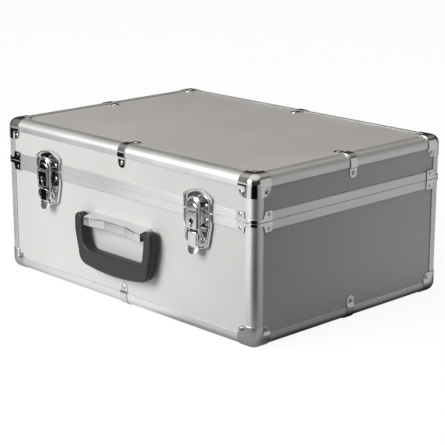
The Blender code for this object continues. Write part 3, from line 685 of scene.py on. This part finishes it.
def wall_mesh(section):
    """A section of (depth, height) carried round the frame, with mitred corners."""
    rings = []
    for x_sign, y_sign in ((-1, -1), (1, -1), (1, 1), (-1, 1)):
        halves = [(WIDTH / 2 - depth, DEPTH / 2 - depth, height) for depth, height in section]
        rings.append([(x_sign * x, y_sign * y, z) for x, y, z in halves])
    return finished(loft(rings, chain_loop=True))


def numbered(mesh, number):
    for face in mesh.polygons:
        face.material_index = number
    return mesh


def make_rims():
    middle = Vector((0, MIDDLE_Y, SEAM))
    for part, up, body in HALVES:
        bars = wall_runs(band_section(BAND_H[part]))
        meshes = []
        for _, origin, inside, along, axis in walls(SEAM):
            meshes.append(numbered(laid(bars[axis], origin, inside, up * Z, along), "xy".index(axis)))
        outer, inner = PANEL_EDGE, PANEL_EDGE + LEG_T
        low = SEAM_GAP / 2 + SINK
        leg = [(outer, low), (inner, low), (inner, LEG_H), (outer, LEG_H)]
        if part == "body":
            first, last = inner + TONGUE_GAP, inner + TONGUE_GAP + TONGUE_T
            top = [(first, low), (first, -TONGUE_RISE), (last, -TONGUE_RISE), (last, LEG_H)]
            leg = [(outer, low), *top, (outer, LEG_H)]
        meshes.append(numbered(laid(wall_mesh(leg), middle, X, Y, up * Z), 1))
        looks = [ALUMINIUM[axis] for axis in "xy"]
        stand_in(f"{part}_rim_frame", "profile", joined(meshes), body, looks)


# Corner caps


def ear_point(a, b):
    """A point of a square grid, drawn in so that the ear's far corner is round."""
    start = CAP_REACH - CAP_EAR_R
    if a <= start or b <= start:
        return a, b
    u, v = (a - start) / CAP_EAR_R, (b - start) / CAP_EAR_R
    drawn = u * math.sqrt(1 - v * v / 2), v * math.sqrt(1 - u * u / 2)
    return tuple(start + CAP_EAR_R * part for part in drawn)


def cap_height(a, b):
    """How far the cap stands off the frame: proud over the profiles, seated on the panel."""
    away = math.hypot(max(0, CAP_SEAT - a), max(0, CAP_SEAT - b))
    return CAP_SEAT_H + (CAP_H - CAP_SEAT_H) * smoothstep(away / CAP_SLOPE)


def cap_mesh():
    """The pressed cap, drawn inwards from the corner: three ears round a rounded corner."""
    turns, flats, ears = 11, 4, 8
    start = CAP_REACH - CAP_EAR_R
    tans = [math.tan(math.radians(45 - 45 * step / turns)) for step in range(turns + 1)]
    line = [CAP_ROUND * (1 - tan) for tan in tans]
    line += [CAP_ROUND + (start - CAP_ROUND) * (step + 1) / flats for step in range(flats)]
    line += [start + CAP_EAR_R * (step + 1) / ears for step in range(ears)]
    bm = bmesh.new()
    for first in range(3):
        rows = []
        for a in line:
            row = []
            for b in line:
                place = Vector((0, 0, 0))
                place[first], place[(first + 1) % 3] = ear_point(a, b)
                core = Vector(max(part, CAP_ROUND) for part in place)
                out = place - core
                out /= sum(abs(part) ** CAP_POWER for part in out) ** (1 / CAP_POWER)
                height = cap_height(place[first], place[(first + 1) % 3])
                row.append(core + out * (CAP_ROUND + height))
            rows.append(row)
        loft(rows, ends=False, ring_loop=False, bm=bm)
    return outward_from(finished(bm, 80), Vector((1, 1, 1)))


def outward_from(mesh, inside):
    """Turns an open sheet over if its first face looks towards a point inside the object."""
    face = mesh.polygons[0]
    if face.normal.dot(inside - face.center) > 0:
        mesh.flip_normals()
    return mesh


def sheet(rows, angle, inside):
    """An open sheet through rows of points, facing away from a point inside the object."""
    return outward_from(finished(loft(rows, ends=False, ring_loop=False), angle), Vector(inside))


def at_corner(mesh, x_sign, y_sign, z_sign, height):
    return laid(mesh, corner_point(x_sign, y_sign, height), -x_sign * X, -y_sign * Y, -z_sign * Z)


def make_caps():
    cap = cap_mesh()
    for _, up, body in HALVES:
        level, height = ("top", HIGH.z) if up > 0 else ("bottom", LOW.z)
        for corner, x_sign, y_sign in corners():
            mesh = at_corner(cap, x_sign, y_sign, up, height)
            made = stand_in(f"corner_cap_{level}_{corner}", "pressed", mesh, body, CHROME)
            thickened(made, CAP_T, SHEET_EDGE)


# Corner braces and edge clips, which are strips wrapped round a corner


def wrap(reach_1, reach_2, flats, turns=10):
    """Stations round a corner: (distance from the corner, side, point on the frame, outward)."""
    stations = []
    for step in range(flats):
        u = reach_1 + (FRAME_R - reach_1) * step / flats
        stations.append((u, 1, Vector((u, 0, 0)), Vector((0, -1, 0))))
    for step in range(turns + 1):
        angle = math.radians(270 - 90 * step / turns)
        out = Vector((math.cos(angle), math.sin(angle), 0))
        centre = Vector((FRAME_R, FRAME_R, 0))
        side = 1 if step <= turns / 2 else 2
        stations.append((FRAME_R, side, centre + FRAME_R * out, out))
    for step in range(flats):
        u = FRAME_R + (reach_2 - FRAME_R) * (step + 1) / flats
        stations.append((u, 2, Vector((0, u, 0)), Vector((-1, 0, 0))))
    return stations


def brace_top(u, ear):
    """The upper outline of a brace: a low strap, a slanting step and an ear with round corners."""
    step_start, step_end = BRACE_STEP
    if u <= step_start:
        return BRACE_BAND
    if u < step_end:
        share = (u - step_start) / (step_end - step_start)
        return BRACE_BAND + (ear - BRACE_BAND) * share**BRACE_SWEEP
    past = max(0, u - (BRACE_REACH - BRACE_EAR_R))
    return ear - (BRACE_EAR_R - math.sqrt(max(0, BRACE_EAR_R**2 - past**2)))


def brace_mesh(ear):
    rows = []
    for u, _, point, out in wrap(BRACE_REACH, BRACE_REACH, flats=34):
        top = brace_top(u, ear)
        heights = [BRACE_LOW + (top - BRACE_LOW) * step / 4 for step in range(5)]
        rows.append([point + BRACE_H * out + height * Z for height in heights])
    return sheet(rows, 60, (1, 1, 0))


def make_braces():
    for part, up, body in HALVES:
        brace = brace_mesh(BRACE_EAR[part])
        for corner, x_sign, y_sign in corners():
            mesh = at_corner(brace, x_sign, y_sign, -up, SEAM)
            made = piece(f"{part}_brace_{corner}", mesh, body, CHROME)
            thickened(made, BRACE_T, STRIP_EDGE)


def clip_mesh():
    """A strap over an edge, joggled down onto the panels, with round ends."""
    reaches = [rivet + CLIP_HALF_W for rivet in CLIP_RIVETS]
    rows = []
    for u, side, point, out in wrap(*reaches, flats=26):
        seat = smoothstep((u - FLANGE_REACH) / CLIP_JOGGLE)
        height = CLIP_H + (CLIP_SEAT_H - CLIP_H) * seat
        left = reaches[side - 1] - u
        bite = max(0, CLIP_HALF_W - left)
        half = math.sqrt(max(CLIP_TIP_SQUARED, CLIP_HALF_W**2 - bite**2))
        rows.append([point + height * out + half * (step / 4 - 1) * Z for step in range(9)])
    return sheet(rows, 60, (1, 1, 0))


def clip_places():
    """Each clip: its name, its body, where it sits, and the ways in, up or down, and along."""
    for part, body, height, upright in LEVELS:
        for wall, origin, inside, along, axis in walls(height):
            if axis == "x":
                origin.x = CLIP_SHIFT
            yield f"{part}_clip_{wall}", body, origin, inside, upright, along


def make_clips():
    """The first leg lies on the upright panel, and the second on the top or the bottom."""
    clip = clip_mesh()
    for name, body, origin, inside, upright, along in clip_places():
        made = piece(name, laid(clip, origin, upright, inside, along), body, CHROME)
        thickened(made, CLIP_T, STRIP_EDGE)


# Rivets


def rivet_mesh(point, out):
    """A domed head on a surface, with a short skirt."""
    return turned(point, out, [(RIVET_R * r, RIVET_H * h) for r, h in RIVET_DOME], 20, 60)


def cap_rivets(up):
    for _, x_sign, y_sign in corners():
        corner = corner_point(x_sign, y_sign, HIGH.z if up > 0 else LOW.z)
        outs = (x_sign * X, y_sign * Y, up * Z)
        for number, out in enumerate(outs):
            inward = [other for index, other in enumerate(outs) if index != number]
            yield corner - CAP_RIVET * (inward[0] + inward[1]) + CAP_SEAT_H * out, out


def brace_rivets(part, up):
    along, away = BRACE_RIVET[part]
    for _, x_sign, y_sign in corners():
        corner = corner_point(x_sign, y_sign, SEAM + up * away)
        for out, run in ((x_sign * X, y_sign * Y), (y_sign * Y, x_sign * X)):
            yield corner - along * run + (BRACE_H - BRACE_RIVET_SUNK) * out, out


def clip_rivets(part):
    for name, _, origin, inside, upright, _ in clip_places():
        if name.startswith(part):
            yield origin + CLIP_RIVETS[0] * upright - CLIP_SEAT_H * inside, -inside
            yield origin + CLIP_RIVETS[1] * inside - CLIP_SEAT_H * upright, -upright


def latch_rivets(part):
    for sign in SIDES.values():
        for dx in (-LATCH_RIVET_X, LATCH_RIVET_X):
            yield front(sign * LATCH_X + dx, PLATE_FLOOR, LATCH_RIVET_Z[part]), -Y


def hinge_rivets(up):
    for sign in SIDES.values():
        for dx in (-HINGE_RIVET_X, 0, HINGE_RIVET_X):
            yield Vector((sign * HINGE_X + dx, HIGH.y + HINGE_LEAF[1], SEAM + up * HINGE_RIVET_Z)), Y


def make_rivets():
    for part, up, body in HALVES:
        places = [*cap_rivets(up), *brace_rivets(part, up), *clip_rivets(part)]
        places += [*latch_rivets(part), *hinge_rivets(up)]
        heads = [rivet_mesh(point, out) for point, out in places]
        piece(f"{part}_rivets", joined(heads, 60), body, RIVET)


# Latches


def front(x, depth, height):
    """A point at a depth in front of the frame and a height above its bottom."""
    return Vector((x, LOW.y - depth, LOW.z + height))


def on_front(mesh, x):
    """A mesh drawn in (x, height, depth), placed on the front."""
    return laid(mesh, front(x, 0, 0), X, Z, -Y)


def across(points, span, edge):
    """An outline in (depth, height) made solid across a span of x, in (x, height, depth)."""
    mesh = outline_solid([points], *span, edge, 2)
    return laid(mesh, Vector(), Z, Y, X)


def both_sides(span):
    return span, (-span[1], -span[0])


# The rim of a pressed plate: how far in, in millimetres, and the share of the way up to its crest
SKIRT = ((0, 0), (0, 0.45), (0.25, 0.75))
DISH = ((0.75, 0.95), (1.35, 1), (1.9, 0.93), (2.4, 0.65), (2.9, 0.15), (3.5, 0))


def dish_mesh(outline):
    """A pressed tray: a skirt, a rounded crest and a floor, with no crest at one end."""
    rings = []
    for bottom, rows in ((PLATE_BACK, SKIRT), (PLATE_FLOOR, DISH)):
        for inset, rise in rows:
            depth = bottom + (PLATE_CREST - bottom) * rise
            rings.append([(x, z, depth) for x, z in outline(inset * MM)])
    bm = loft(rings, ring_loop=False)
    count = len(rings[0])
    verts = list(bm.verts)
    bm.faces.new([*verts[::count], *reversed(verts[count - 1 :: count])])
    return finished(bm, 32)


def latch_piece(kind, side, suffix, meshes, body, look=CHROME):
    """A piece of one latch, drawn in (x, height, depth) round the latch's middle line."""
    mesh = on_front(joined(meshes), SIDES[side] * LATCH_X)
    stand_in(f"{kind}_{side}", suffix, mesh, body, look)


def catch_outline(inset):
    low, side, crown = CATCH_Z
    half = PLATE_HALF_W - inset
    return [(half, low), *bow(half, side - inset, crown - inset, 24), (-half, low)]


def base_outline(inset):
    high, taper, side, keel = BASE_Z
    drop, step, share = BASE_TAPER
    half, foot = PLATE_HALF_W - inset, BASE_FOOT_HALF_W - share * inset
    sweep = [(-x, z) for x, z in bow(foot, side + inset, keel + inset, 12)]
    right = [(half, high), (half, taper + drop), (half - step, taper - drop)]
    return [*right, *reversed(sweep), *mirrored(right)]


def make_catch(side):
    nose = outline_solid([rectangle(NOSE_HALF_W, *NOSE_Z)], *NOSE_DEPTH)
    latch_piece("latch_catch", side, "plate", [dish_mesh(catch_outline), nose], "lid")


def lug_points():
    back, height = PLATE_FLOOR - SINK, LEVER_AXIS[1]
    eye = arc(LEVER_AXIS, LUG_R, 90, -90, 10)
    return [(back, height + LUG_R), *eye, (back, height - LUG_R)]


def make_base(side):
    lugs = [across(lug_points(), span, PIN_EDGE) for span in both_sides(LUG_X)]
    latch_piece("latch_base", side, "plate", [dish_mesh(base_outline), *lugs], "case")


def bar_ring(point, normal, half, back, face):
    """The section of the hasp's rounded bar at a point of its path."""
    middle, deep = (back + face) / 2, (face - back) / 2
    ring = []
    for circle in arc((0, 0), 1, 0, 360, 14)[:-1]:
        over, out = (math.copysign(abs(part) ** BAR_POWER, part) for part in circle)
        place = point + over * half * normal
        ring.append((place.x, place.y, middle + deep * out))
    return ring


def hasp_bar():
    """The bar that runs up one side of the hasp, over the arch and down the other."""
    half = HASP_HALF_W - BAR_W / 2
    path = [(half, height) for height in BAR_Z]
    path += bow(half, HASP_Z[0], HASP_Z[1] - BAR_W / 2, 22)
    path += mirrored(path[:3])
    points = [Vector(place) for place in path]
    rings = []
    for index, point in enumerate(points):
        before, after = points[max(0, index - 1)], points[min(len(points) - 1, index + 1)]
        along = (after - before).normalized()
        rings.append(bar_ring(point, Vector((along.y, -along.x)), BAR_W / 2, HASP_BACK, HASP_FACE))
    return finished(loft(rings), 50)


def arch_outline(inset, low):
    half = HASP_HALF_W - inset
    return [(half, low), *bow(half, HASP_Z[0], HASP_Z[1] - inset, 20), (-half, low)]


def pad_outline():
    low, side, crown = PAD_Z
    return [(PAD_HALF_W, low), *bow(PAD_HALF_W, side, crown), (-PAD_HALF_W, low)]


def keyhole():
    """A round hole with a slot below it."""
    lean = math.degrees(math.asin(KEYHOLE_HALF_W / LOCK_R))
    rim = arc((0, LOCK_Z), LOCK_R, -90 + lean, 270 - lean, 26)
    foot = LOCK_Z - KEYHOLE_DROP
    return [*rim, (-KEYHOLE_HALF_W, foot), (KEYHOLE_HALF_W, foot)]


def rectangle(half, low, high):
    return [(half, low), (half, high), (-half, high), (-half, low)]


def ear_points():
    eye = arc(HASP_AXIS, EAR_R, 180, 360, 14)
    low, high = EAR_Z
    return [*eye, (EAR_FACE, low), (EAR_FACE, high), (HASP_BACK + SINK, high)]


def make_hasp(side):
    meshes = [
        hasp_bar(),
        outline_solid([arch_outline(*ARCH_WEB)], *WEB_DEPTH),
        outline_solid([arch_outline(*ARCH_STEP)], *STEP_DEPTH),
        outline_solid([pad_outline()], *PAD_DEPTH),
        outline_solid([rectangle(BLOCK_HALF_W, *BLOCK_Z), keyhole()], *BLOCK_DEPTH),
    ]
    meshes += [across(ear_points(), span, EAR_EDGE) for span in both_sides(EAR_X)]
    latch_piece("latch_hasp", side, "pressed", meshes, f"hasp_{side}")


def cheek_points():
    eye = arc(LEVER_AXIS, CHEEK_R, 180, 45, 12)
    pin = arc(HASP_AXIS, CHEEK_R, 270, 180, 8)
    low, high = CHEEK_Z
    return [*eye, (CHEEK_FACE, high), (CHEEK_FACE, low), *pin]


def tab_mesh():
    """The crowned lift tab, in (x, height, depth)."""
    low, bend, high = TAB_Z
    rows = []
    for step in range(15):
        z = high + (low - high) * math.sin(math.radians(90 * step / 14))
        if z > bend:
            half = TAB_HALF_W - TAB_SIDE * smoothstep((z - bend) / (high - bend))
        else:
            half = TAB_HALF_W * math.sqrt(max(0.0004, 1 - ((bend - z) / (bend - low)) ** 2))
        row = []
        for place in range(13):
            x = half * (place / 6 - 1)
            lean = TAB_LEAN * (bend - z) + TAB_STEP * smoothstep((z - bend) / (high - bend))
            depth = TAB_DEPTH + lean - TAB_CROWN * (x / TAB_HALF_W) ** 2
            row.append((x, z, depth))
        rows.append(row)
    return sheet(rows, 70, (0, 0.1, -1))


def solid_sheet(mesh, thickness):
    """A sheet with its thickness built into the mesh."""
    guide = linked("guide", mesh)
    thickened(guide, thickness, SHEET_EDGE)
    return applied(guide)


def make_lever(side):
    meshes = [
        outline_solid([rectangle(NECK_HALF_W, *NECK_Z)], *NECK_DEPTH),
        outline_solid([rectangle(*YOKE)], *YOKE_DEPTH),
        solid_sheet(tab_mesh(), TAB_T),
    ]
    meshes += [across(cheek_points(), span, CHEEK_EDGE) for span in both_sides(CHEEK_X)]
    latch_piece("latch_lever", side, "pressed", meshes, f"lever_{side}")


def make_pins(side):
    """The two pins that a latch turns on. The upper one is brass at its ends; its middle takes the dark
    lock steel as painted shade, where it lies behind the lever's neck.
    """

    def rod(axis, start, end):
        x = SIDES[side] * LATCH_X
        return rod_mesh(PIN_R, front(x + start, *axis), front(x + end, *axis))

    ends = [rod(LEVER_AXIS, *span) for span in both_sides(UPPER_PIN_X)]
    # Painted shade: the middle of the upper pin is dark steel to stand for the shade behind the lever's
    # neck
    middle = rod(LEVER_AXIS, -UPPER_PIN_X[0], UPPER_PIN_X[0])
    upper = joined([*ends, numbered(middle, 1)])
    piece(f"latch_pin_upper_{side}", upper, "case", [BRASS, LOCK_STEEL_AND_PIN_SHADE])
    lower = rod(HASP_AXIS, -LOWER_PIN_X, LOWER_PIN_X)
    piece(f"latch_pin_lower_{side}", lower, f"lever_{side}", BRASS)


def make_lock(side):
    """The plug inside the keyhole, with its slot, and the core behind it."""
    plug_disc, core_disc = (arc((0, LOCK_Z), radius, 0, 345, 23) for radius in (PLUG_R, CORE_R))
    plug = outline_solid([plug_disc, rectangle(*LOCK_SLOT)], *PLUG_DEPTH)
    core = outline_solid([core_disc], *CORE_DEPTH)
    latch_piece("lock_cylinder", side, "plug", [plug, core], f"lock_{side}", LOCK_STEEL_AND_PIN_SHADE)


def make_latches():
    for side in SIDES:
        for make in (make_base, make_catch, make_hasp, make_lever, make_pins, make_lock):
            make(side)


# Handle


def bracket_ring(height, inset, slope, crown):
    """The bracket's outline at one level; slope lifts its back, and crown its middle."""
    near, far = BRACKET_BENDS
    end, face, middle = BRACKET_HALF_L - inset, BRACKET_FACE - inset, BRACKET_MID - inset
    soft = BRACKET_SOFT
    right = [
        (0, middle),
        (near - soft, middle),
        (near + soft, middle + 0.5 * soft),
        (far - soft, face - 0.5 * soft),
        (far + soft, face),
        (end - soft, face),
        (end, face - soft),
        (end, BRACKET_BACK),
    ]
    ring = []
    for x, depth in [*right, *mirrored(right[1:])]:
        lift = slope * (BRACKET_FACE - depth) / (BRACKET_FACE - BRACKET_BACK)
        middle_lift = crown * smoothstep((far - abs(x)) / (far - near))
        ring.append((x, height + lift + middle_lift, depth))
    return ring


def make_bracket():
    """A folded chrome bracket: a faceted front with a groove under its lip, and a sloping top."""
    low, high = BRACKET_Z
    rise, groove = BRACKET_MID_RISE, 0.9 * MM
    # Each level's height, inset, slope and crown
    levels = (
        (low, 0.45 * MM, 0, 0),
        (low + 0.35 * MM, 0, 0, 0),
        (high - 1.9 * MM, 0, 0, rise),
        (high - 1.75 * MM, groove, 0, rise),
        (high - 1.05 * MM, groove, 0, rise),
        (high - 0.9 * MM, 0, 0.15 * MM, rise),
        (high - 0.3 * MM, 0, BRACKET_RISE, 0),
        (high, 0.4 * MM, BRACKET_RISE, 0),
    )
    rings = [bracket_ring(*level) for level in levels]
    mesh = on_front(finished(loft(rings), 12), 0)
    stand_in("handle_bracket", "folded", mesh, "case", CHROME)


def grip_outline():
    """The U of the grip in (x, height)."""
    top_r = (GRIP_HALF_W - GRIP_IN) / 2
    top = arc((GRIP_HALF_W - top_r, GRIP_TOP_Z - top_r), top_r, 180, 0, 14)
    foot = GRIP_FOOT_HALF_W - GRIP_CORNER_R
    corner = arc((foot, GRIP_BOTTOM_Z + GRIP_SAG + GRIP_CORNER_R), GRIP_CORNER_R, 0, -75, 14)
    keel = bow(corner[-1][0], corner[-1][1], GRIP_BOTTOM_Z, 20)[1:-1]
    inner_x = GRIP_IN - GRIP_HOLE_R - GRIP_HOLE_INSET
    inner = arc((inner_x, GRIP_HOLE_Z + GRIP_HOLE_R), GRIP_HOLE_R, -90, 0, 12)
    right = [*inner, (GRIP_IN, GRIP_ARM_FOOT_Z), *top, (GRIP_HALF_W, GRIP_TAPER_Z), *corner]
    return [*right, *keel, *mirrored(right)]


def make_grip():
    mesh = outline_solid([grip_outline()], *GRIP_DEPTH, GRIP_EDGE_R, 6)
    stand_in("handle_grip", "moulded", on_front(mesh, 0), "handle", BLACK)


# Hinges


def make_hinge(side):
    x = SIDES[side] * HINGE_X
    centre = Vector((x, HIGH.y + HINGE_AXIS, SEAM))
    half, mid = HINGE_W / 2, HINGE_MID_W / 2
    gap, r = HINGE_GAP, HINGE_LEAF_R
    knuckles = {"body": ((-half, -mid - gap), (mid + gap, half)), "lid": ((-mid, mid),)}
    for part, up, body in HALVES:
        right = [(half, HINGE_LEAF_LOW), *arc((half - r, HINGE_LEAF_H - r), r, 0, 90, 6)]
        leaf = outline_solid([[*right, *mirrored(right)]], *HINGE_LEAF, PIN_EDGE)
        meshes = [laid(leaf, Vector((x, HIGH.y, SEAM)), X, up * Z, Y)]
        for first, last in knuckles[part]:
            meshes.append(rod_mesh(KNUCKLE_R, centre + first * X, centre + last * X, KNUCKLE_EDGE, 32))
            web = rectangle((last - first) / 2, *HINGE_WEB)
            strap = outline_solid([web], HINGE_LEAF[0] + SINK, HINGE_AXIS, 0.1 * MM)
            origin = Vector((x + (first + last) / 2, HIGH.y, SEAM))
            meshes.append(laid(strap, origin, X, up * Z, Y))
        stand_in(f"hinge_{side}_{part}_leaf", "pressed", joined(meshes), body, ZINC)
    heads = []
    for end in (-1, 1):
        start = centre + end * (half + gap) * X
        heads.append(rod_mesh(HINGE_PIN_R, start, start + end * HINGE_PIN_HEAD * X))
    stand_in(f"hinge_{side}_pin", "heads", joined(heads), "case", ZINC)


# Linings


def make_linings():
    """A felt tray in each half, with rounded inner corners."""
    for part, body, level, inward in LEVELS:
        inward = inward.z
        base, mouth = level + inward * PANEL_EDGE, SEAM - inward * (LEG_H + LINING_GAP)
        rings = []
        for inset, rise in ((0.0, 0.0), (0.0, 1.0), (1.0, 1.0)):
            rings.append(tray_ring(inset * MM, base + (mouth - base) * rise))
        for inset, lift in LINING_FOOT:
            rings.append(tray_ring(inset * MM, base + inward * lift * MM))
        stand_in(f"{part}_lining", "felt", finished(loft(rings), 40), body, FELT)


def tray_ring(inset, height):
    """A rounded rectangle inside the panels at one height."""
    x, y = (length / 2 - PANEL_EDGE - inset - LINING_R for length in (WIDTH, DEPTH))
    points = []
    for centre, start in (((x, y), 0), ((-x, y), 90), ((-x, -y), 180), ((x, -y), 270)):
        points += arc(centre, LINING_R, start, start + 90, 5)
    return [(x, y + MIDDLE_Y, height) for x, y in points]


# Studio. Its light is a fixed pattern, set by direction: azimuth 0 is in front, 90 to the right, and
# elevation is from the horizon. A patch is (azimuth, elevation, full within, none beyond, strength).

SKY = 0.04
SKY_TINT = (1.0, 0.955, 0.90, 1)
SKY_PATCHES = (
    (-12, 5, 12, 22, 0.9),
    (-40, 34, 10, 50, 0.2),
    (0, 90, 10, 62, 0.75),
    (134, 6, 12, 30, 0.46),
)
GROUND = 0.30
GROUND_PATCHES = ((-14, 0, 24, 46, 0.5), (128, 0, 12, 34, 0.20))
# The dark card at the left is (x, y, full within, none beyond); the one at the right is a patch
SIDE_CARD = (-0.75, -0.65, 0.38, 0.60)
CORNER_CARD = (46, 0, 22, 36, 1.0)
CORNER_CARD_START = (0.31, 0.37)
CARD_DEPTH = 0.99
# The middle of the shade under the object, and how far past its sides the shade starts and ends
SHADE_MIDDLE = (0, 0.045, 0)
SHADE_START, SHADE_END = -0.008, 0.06
PAPER = 1.08
KEY = (-13, 25, 2.3)
KEY_SIZE = 1.2
KEY_POWER = 42
FLOOR_HALF = 12.0
FLOOR_TONE = (0.80, 0.80, 0.80, 1)
FLOOR_GLOW = 0.85


def aim(azimuth, elevation):
    turn, tilt = math.radians(azimuth), math.radians(elevation)
    return Vector((math.sin(turn) * math.cos(tilt), -math.cos(turn) * math.cos(tilt), math.sin(tilt)))


def maths(tree, operation, first, second):
    return node(tree, "ShaderNodeMath", {0: first, 1: second}, operation=operation).outputs[0]


def vectors(tree, operation, first, second=(0, 0, 0), output="Vector"):
    made = node(tree, "ShaderNodeVectorMath", {0: first, 1: second}, operation=operation)
    return made.outputs[output]


def ramp(tree, value, start, end, top=1.0):
    """Nothing at the start, rising smoothly to the top at the end."""
    values = {"Value": value, "From Min": start, "From Max": end, "To Max": top}
    return node(tree, "ShaderNodeMapRange", values, interpolation_type="SMOOTHSTEP").outputs["Result"]


def patch(tree, direction, azimuth, elevation, full, none, strength):
    """A soft round patch of light in a direction."""
    near = vectors(tree, "DOT_PRODUCT", direction, aim(azimuth, elevation), "Value")
    return ramp(tree, near, math.cos(math.radians(none)), math.cos(math.radians(full)), strength)


def patches(tree, direction, base, places):
    """The light of a base and several patches added up."""
    total = base
    for place in places:
        total = maths(tree, "ADD", total, patch(tree, direction, *place))
    return total


def seen_or_lit(tree, seen, lit):
    """One shader for what the camera sees, and another for the light that reaches the object."""
    camera_ray = node(tree, "ShaderNodeLightPath").outputs["Is Camera Ray"]
    return node(tree, "ShaderNodeMixShader", {0: camera_ray, 1: lit, 2: seen}).outputs[0]


def side_card(tree, place):
    """A round card at the left, which darkens what the left-hand fittings mirror."""
    x, y, full, none = SIDE_CARD
    return ramp(tree, vectors(tree, "DISTANCE", place, (x, y, 0), "Value"), none, full, CARD_DEPTH)


def corner_card(tree, place, direction):
    """A card in front of the right-hand corner, which starts a little way off from it."""
    reach = vectors(tree, "DOT_PRODUCT", place, aim(CORNER_CARD[0], 0), "Value")
    past = ramp(tree, reach, *CORNER_CARD_START, CARD_DEPTH)
    return maths(tree, "MULTIPLY", past, patch(tree, direction, *CORNER_CARD))


def shade(tree, place):
    """The floor's own light fades under the object, more at the back than in front."""
    folded = vectors(tree, "ABSOLUTE", vectors(tree, "SUBTRACT", place, SHADE_MIDDLE))
    past = vectors(tree, "SUBTRACT", folded, (WIDTH / 2, DEPTH / 2, 0))
    away = vectors(tree, "LENGTH", vectors(tree, "MAXIMUM", past), output="Value")
    return ramp(tree, away, SHADE_START, SHADE_END)


def make_floor():
    """A plain pale floor, which lights the object by the fixed pattern and its dark cards."""
    bm = bmesh.new()
    square = ((-1, -1), (1, -1), (1, 1), (-1, 1))
    bm.faces.new([bm.verts.new((FLOOR_HALF * x, FLOOR_HALF * y, 0)) for x, y in square])
    made = linked("floor", mesh_of(bm, "floor"))
    look, tree, shader = new_material("floor")
    wire(tree, shader, Base_Color=FLOOR_TONE, Roughness=1.0)
    glow = node(tree, "ShaderNodeEmission", {"Strength": PAPER}).outputs[0]
    seen = node(tree, "ShaderNodeMixShader", {0: FLOOR_GLOW, 1: shader.outputs[0], 2: glow}).outputs[0]
    place = node(tree, "ShaderNodeTexCoord").outputs["Object"]
    direction = vectors(tree, "NORMALIZE", place)
    light = patches(tree, direction, GROUND, GROUND_PATCHES)
    for card in (side_card(tree, place), corner_card(tree, place, direction)):
        light = maths(tree, "MULTIPLY", light, maths(tree, "SUBTRACT", 1.0, card))
    light = maths(tree, "MULTIPLY", light, shade(tree, place))
    lit = node(tree, "ShaderNodeEmission", {"Strength": light}).outputs[0]
    tree.links.new(seen_or_lit(tree, seen, lit), tree.nodes["Material Output"].inputs["Surface"])
    made.data.materials.append(look)


def make_world():
    """Soft boxes in a dark room, and plain paper behind the object."""
    world = bpy.data.worlds.new("studio")
    world.use_nodes = True
    tree = world.node_tree
    direction = node(tree, "ShaderNodeTexCoord").outputs["Generated"]
    light = patches(tree, direction, SKY, SKY_PATCHES)
    lit = node(tree, "ShaderNodeBackground", {"Color": SKY_TINT, "Strength": light}).outputs[0]
    seen = node(tree, "ShaderNodeBackground", {"Color": (1, 1, 1, 1), "Strength": PAPER}).outputs[0]
    tree.links.new(seen_or_lit(tree, seen, lit), tree.nodes["World Output"].inputs["Surface"])
    bpy.context.scene.world = world


def make_key_light():
    """A square soft box aimed at the middle of the object."""
    azimuth, elevation, distance = KEY
    lamp = bpy.data.lights.new("key", "AREA")
    lamp.size = KEY_SIZE
    lamp.energy = KEY_POWER
    made = linked("key", lamp)
    middle = (LOW + HIGH) / 2
    made.location = middle + distance * aim(azimuth, elevation)
    made.rotation_euler = (middle - made.location).to_track_quat("-Z", "Y").to_euler()


CAMERA_PLACE = (1.3258, -1.2545, 0.5768)
CAMERA_AZIMUTH = 46.32
CAMERA_ELEVATION = 15.37
CAMERA_LENS = 118.64


def make_camera():
    forward = -aim(CAMERA_AZIMUTH, CAMERA_ELEVATION)
    camera = bpy.data.cameras.new("camera")
    camera.lens = CAMERA_LENS
    camera.sensor_width = 36.0
    camera.clip_start, camera.clip_end = 0.05, 60
    made = linked("camera", camera)
    made.location = CAMERA_PLACE
    made.rotation_euler = forward.to_track_quat("-Z", "Y").to_euler()
    bpy.context.scene.camera = made
    bpy.context.scene.view_settings.view_transform = "Standard"


make_camera()
dress_kept()
make_edges()
make_posts()
make_rims()
make_caps()
make_braces()
make_clips()
make_rivets()
make_latches()
make_bracket()
make_grip()
for side in SIDES:
    make_hinge(side)
make_linings()
flatten_shading()
make_floor()
make_world()
make_key_light()

bpy.context.view_layer.update()
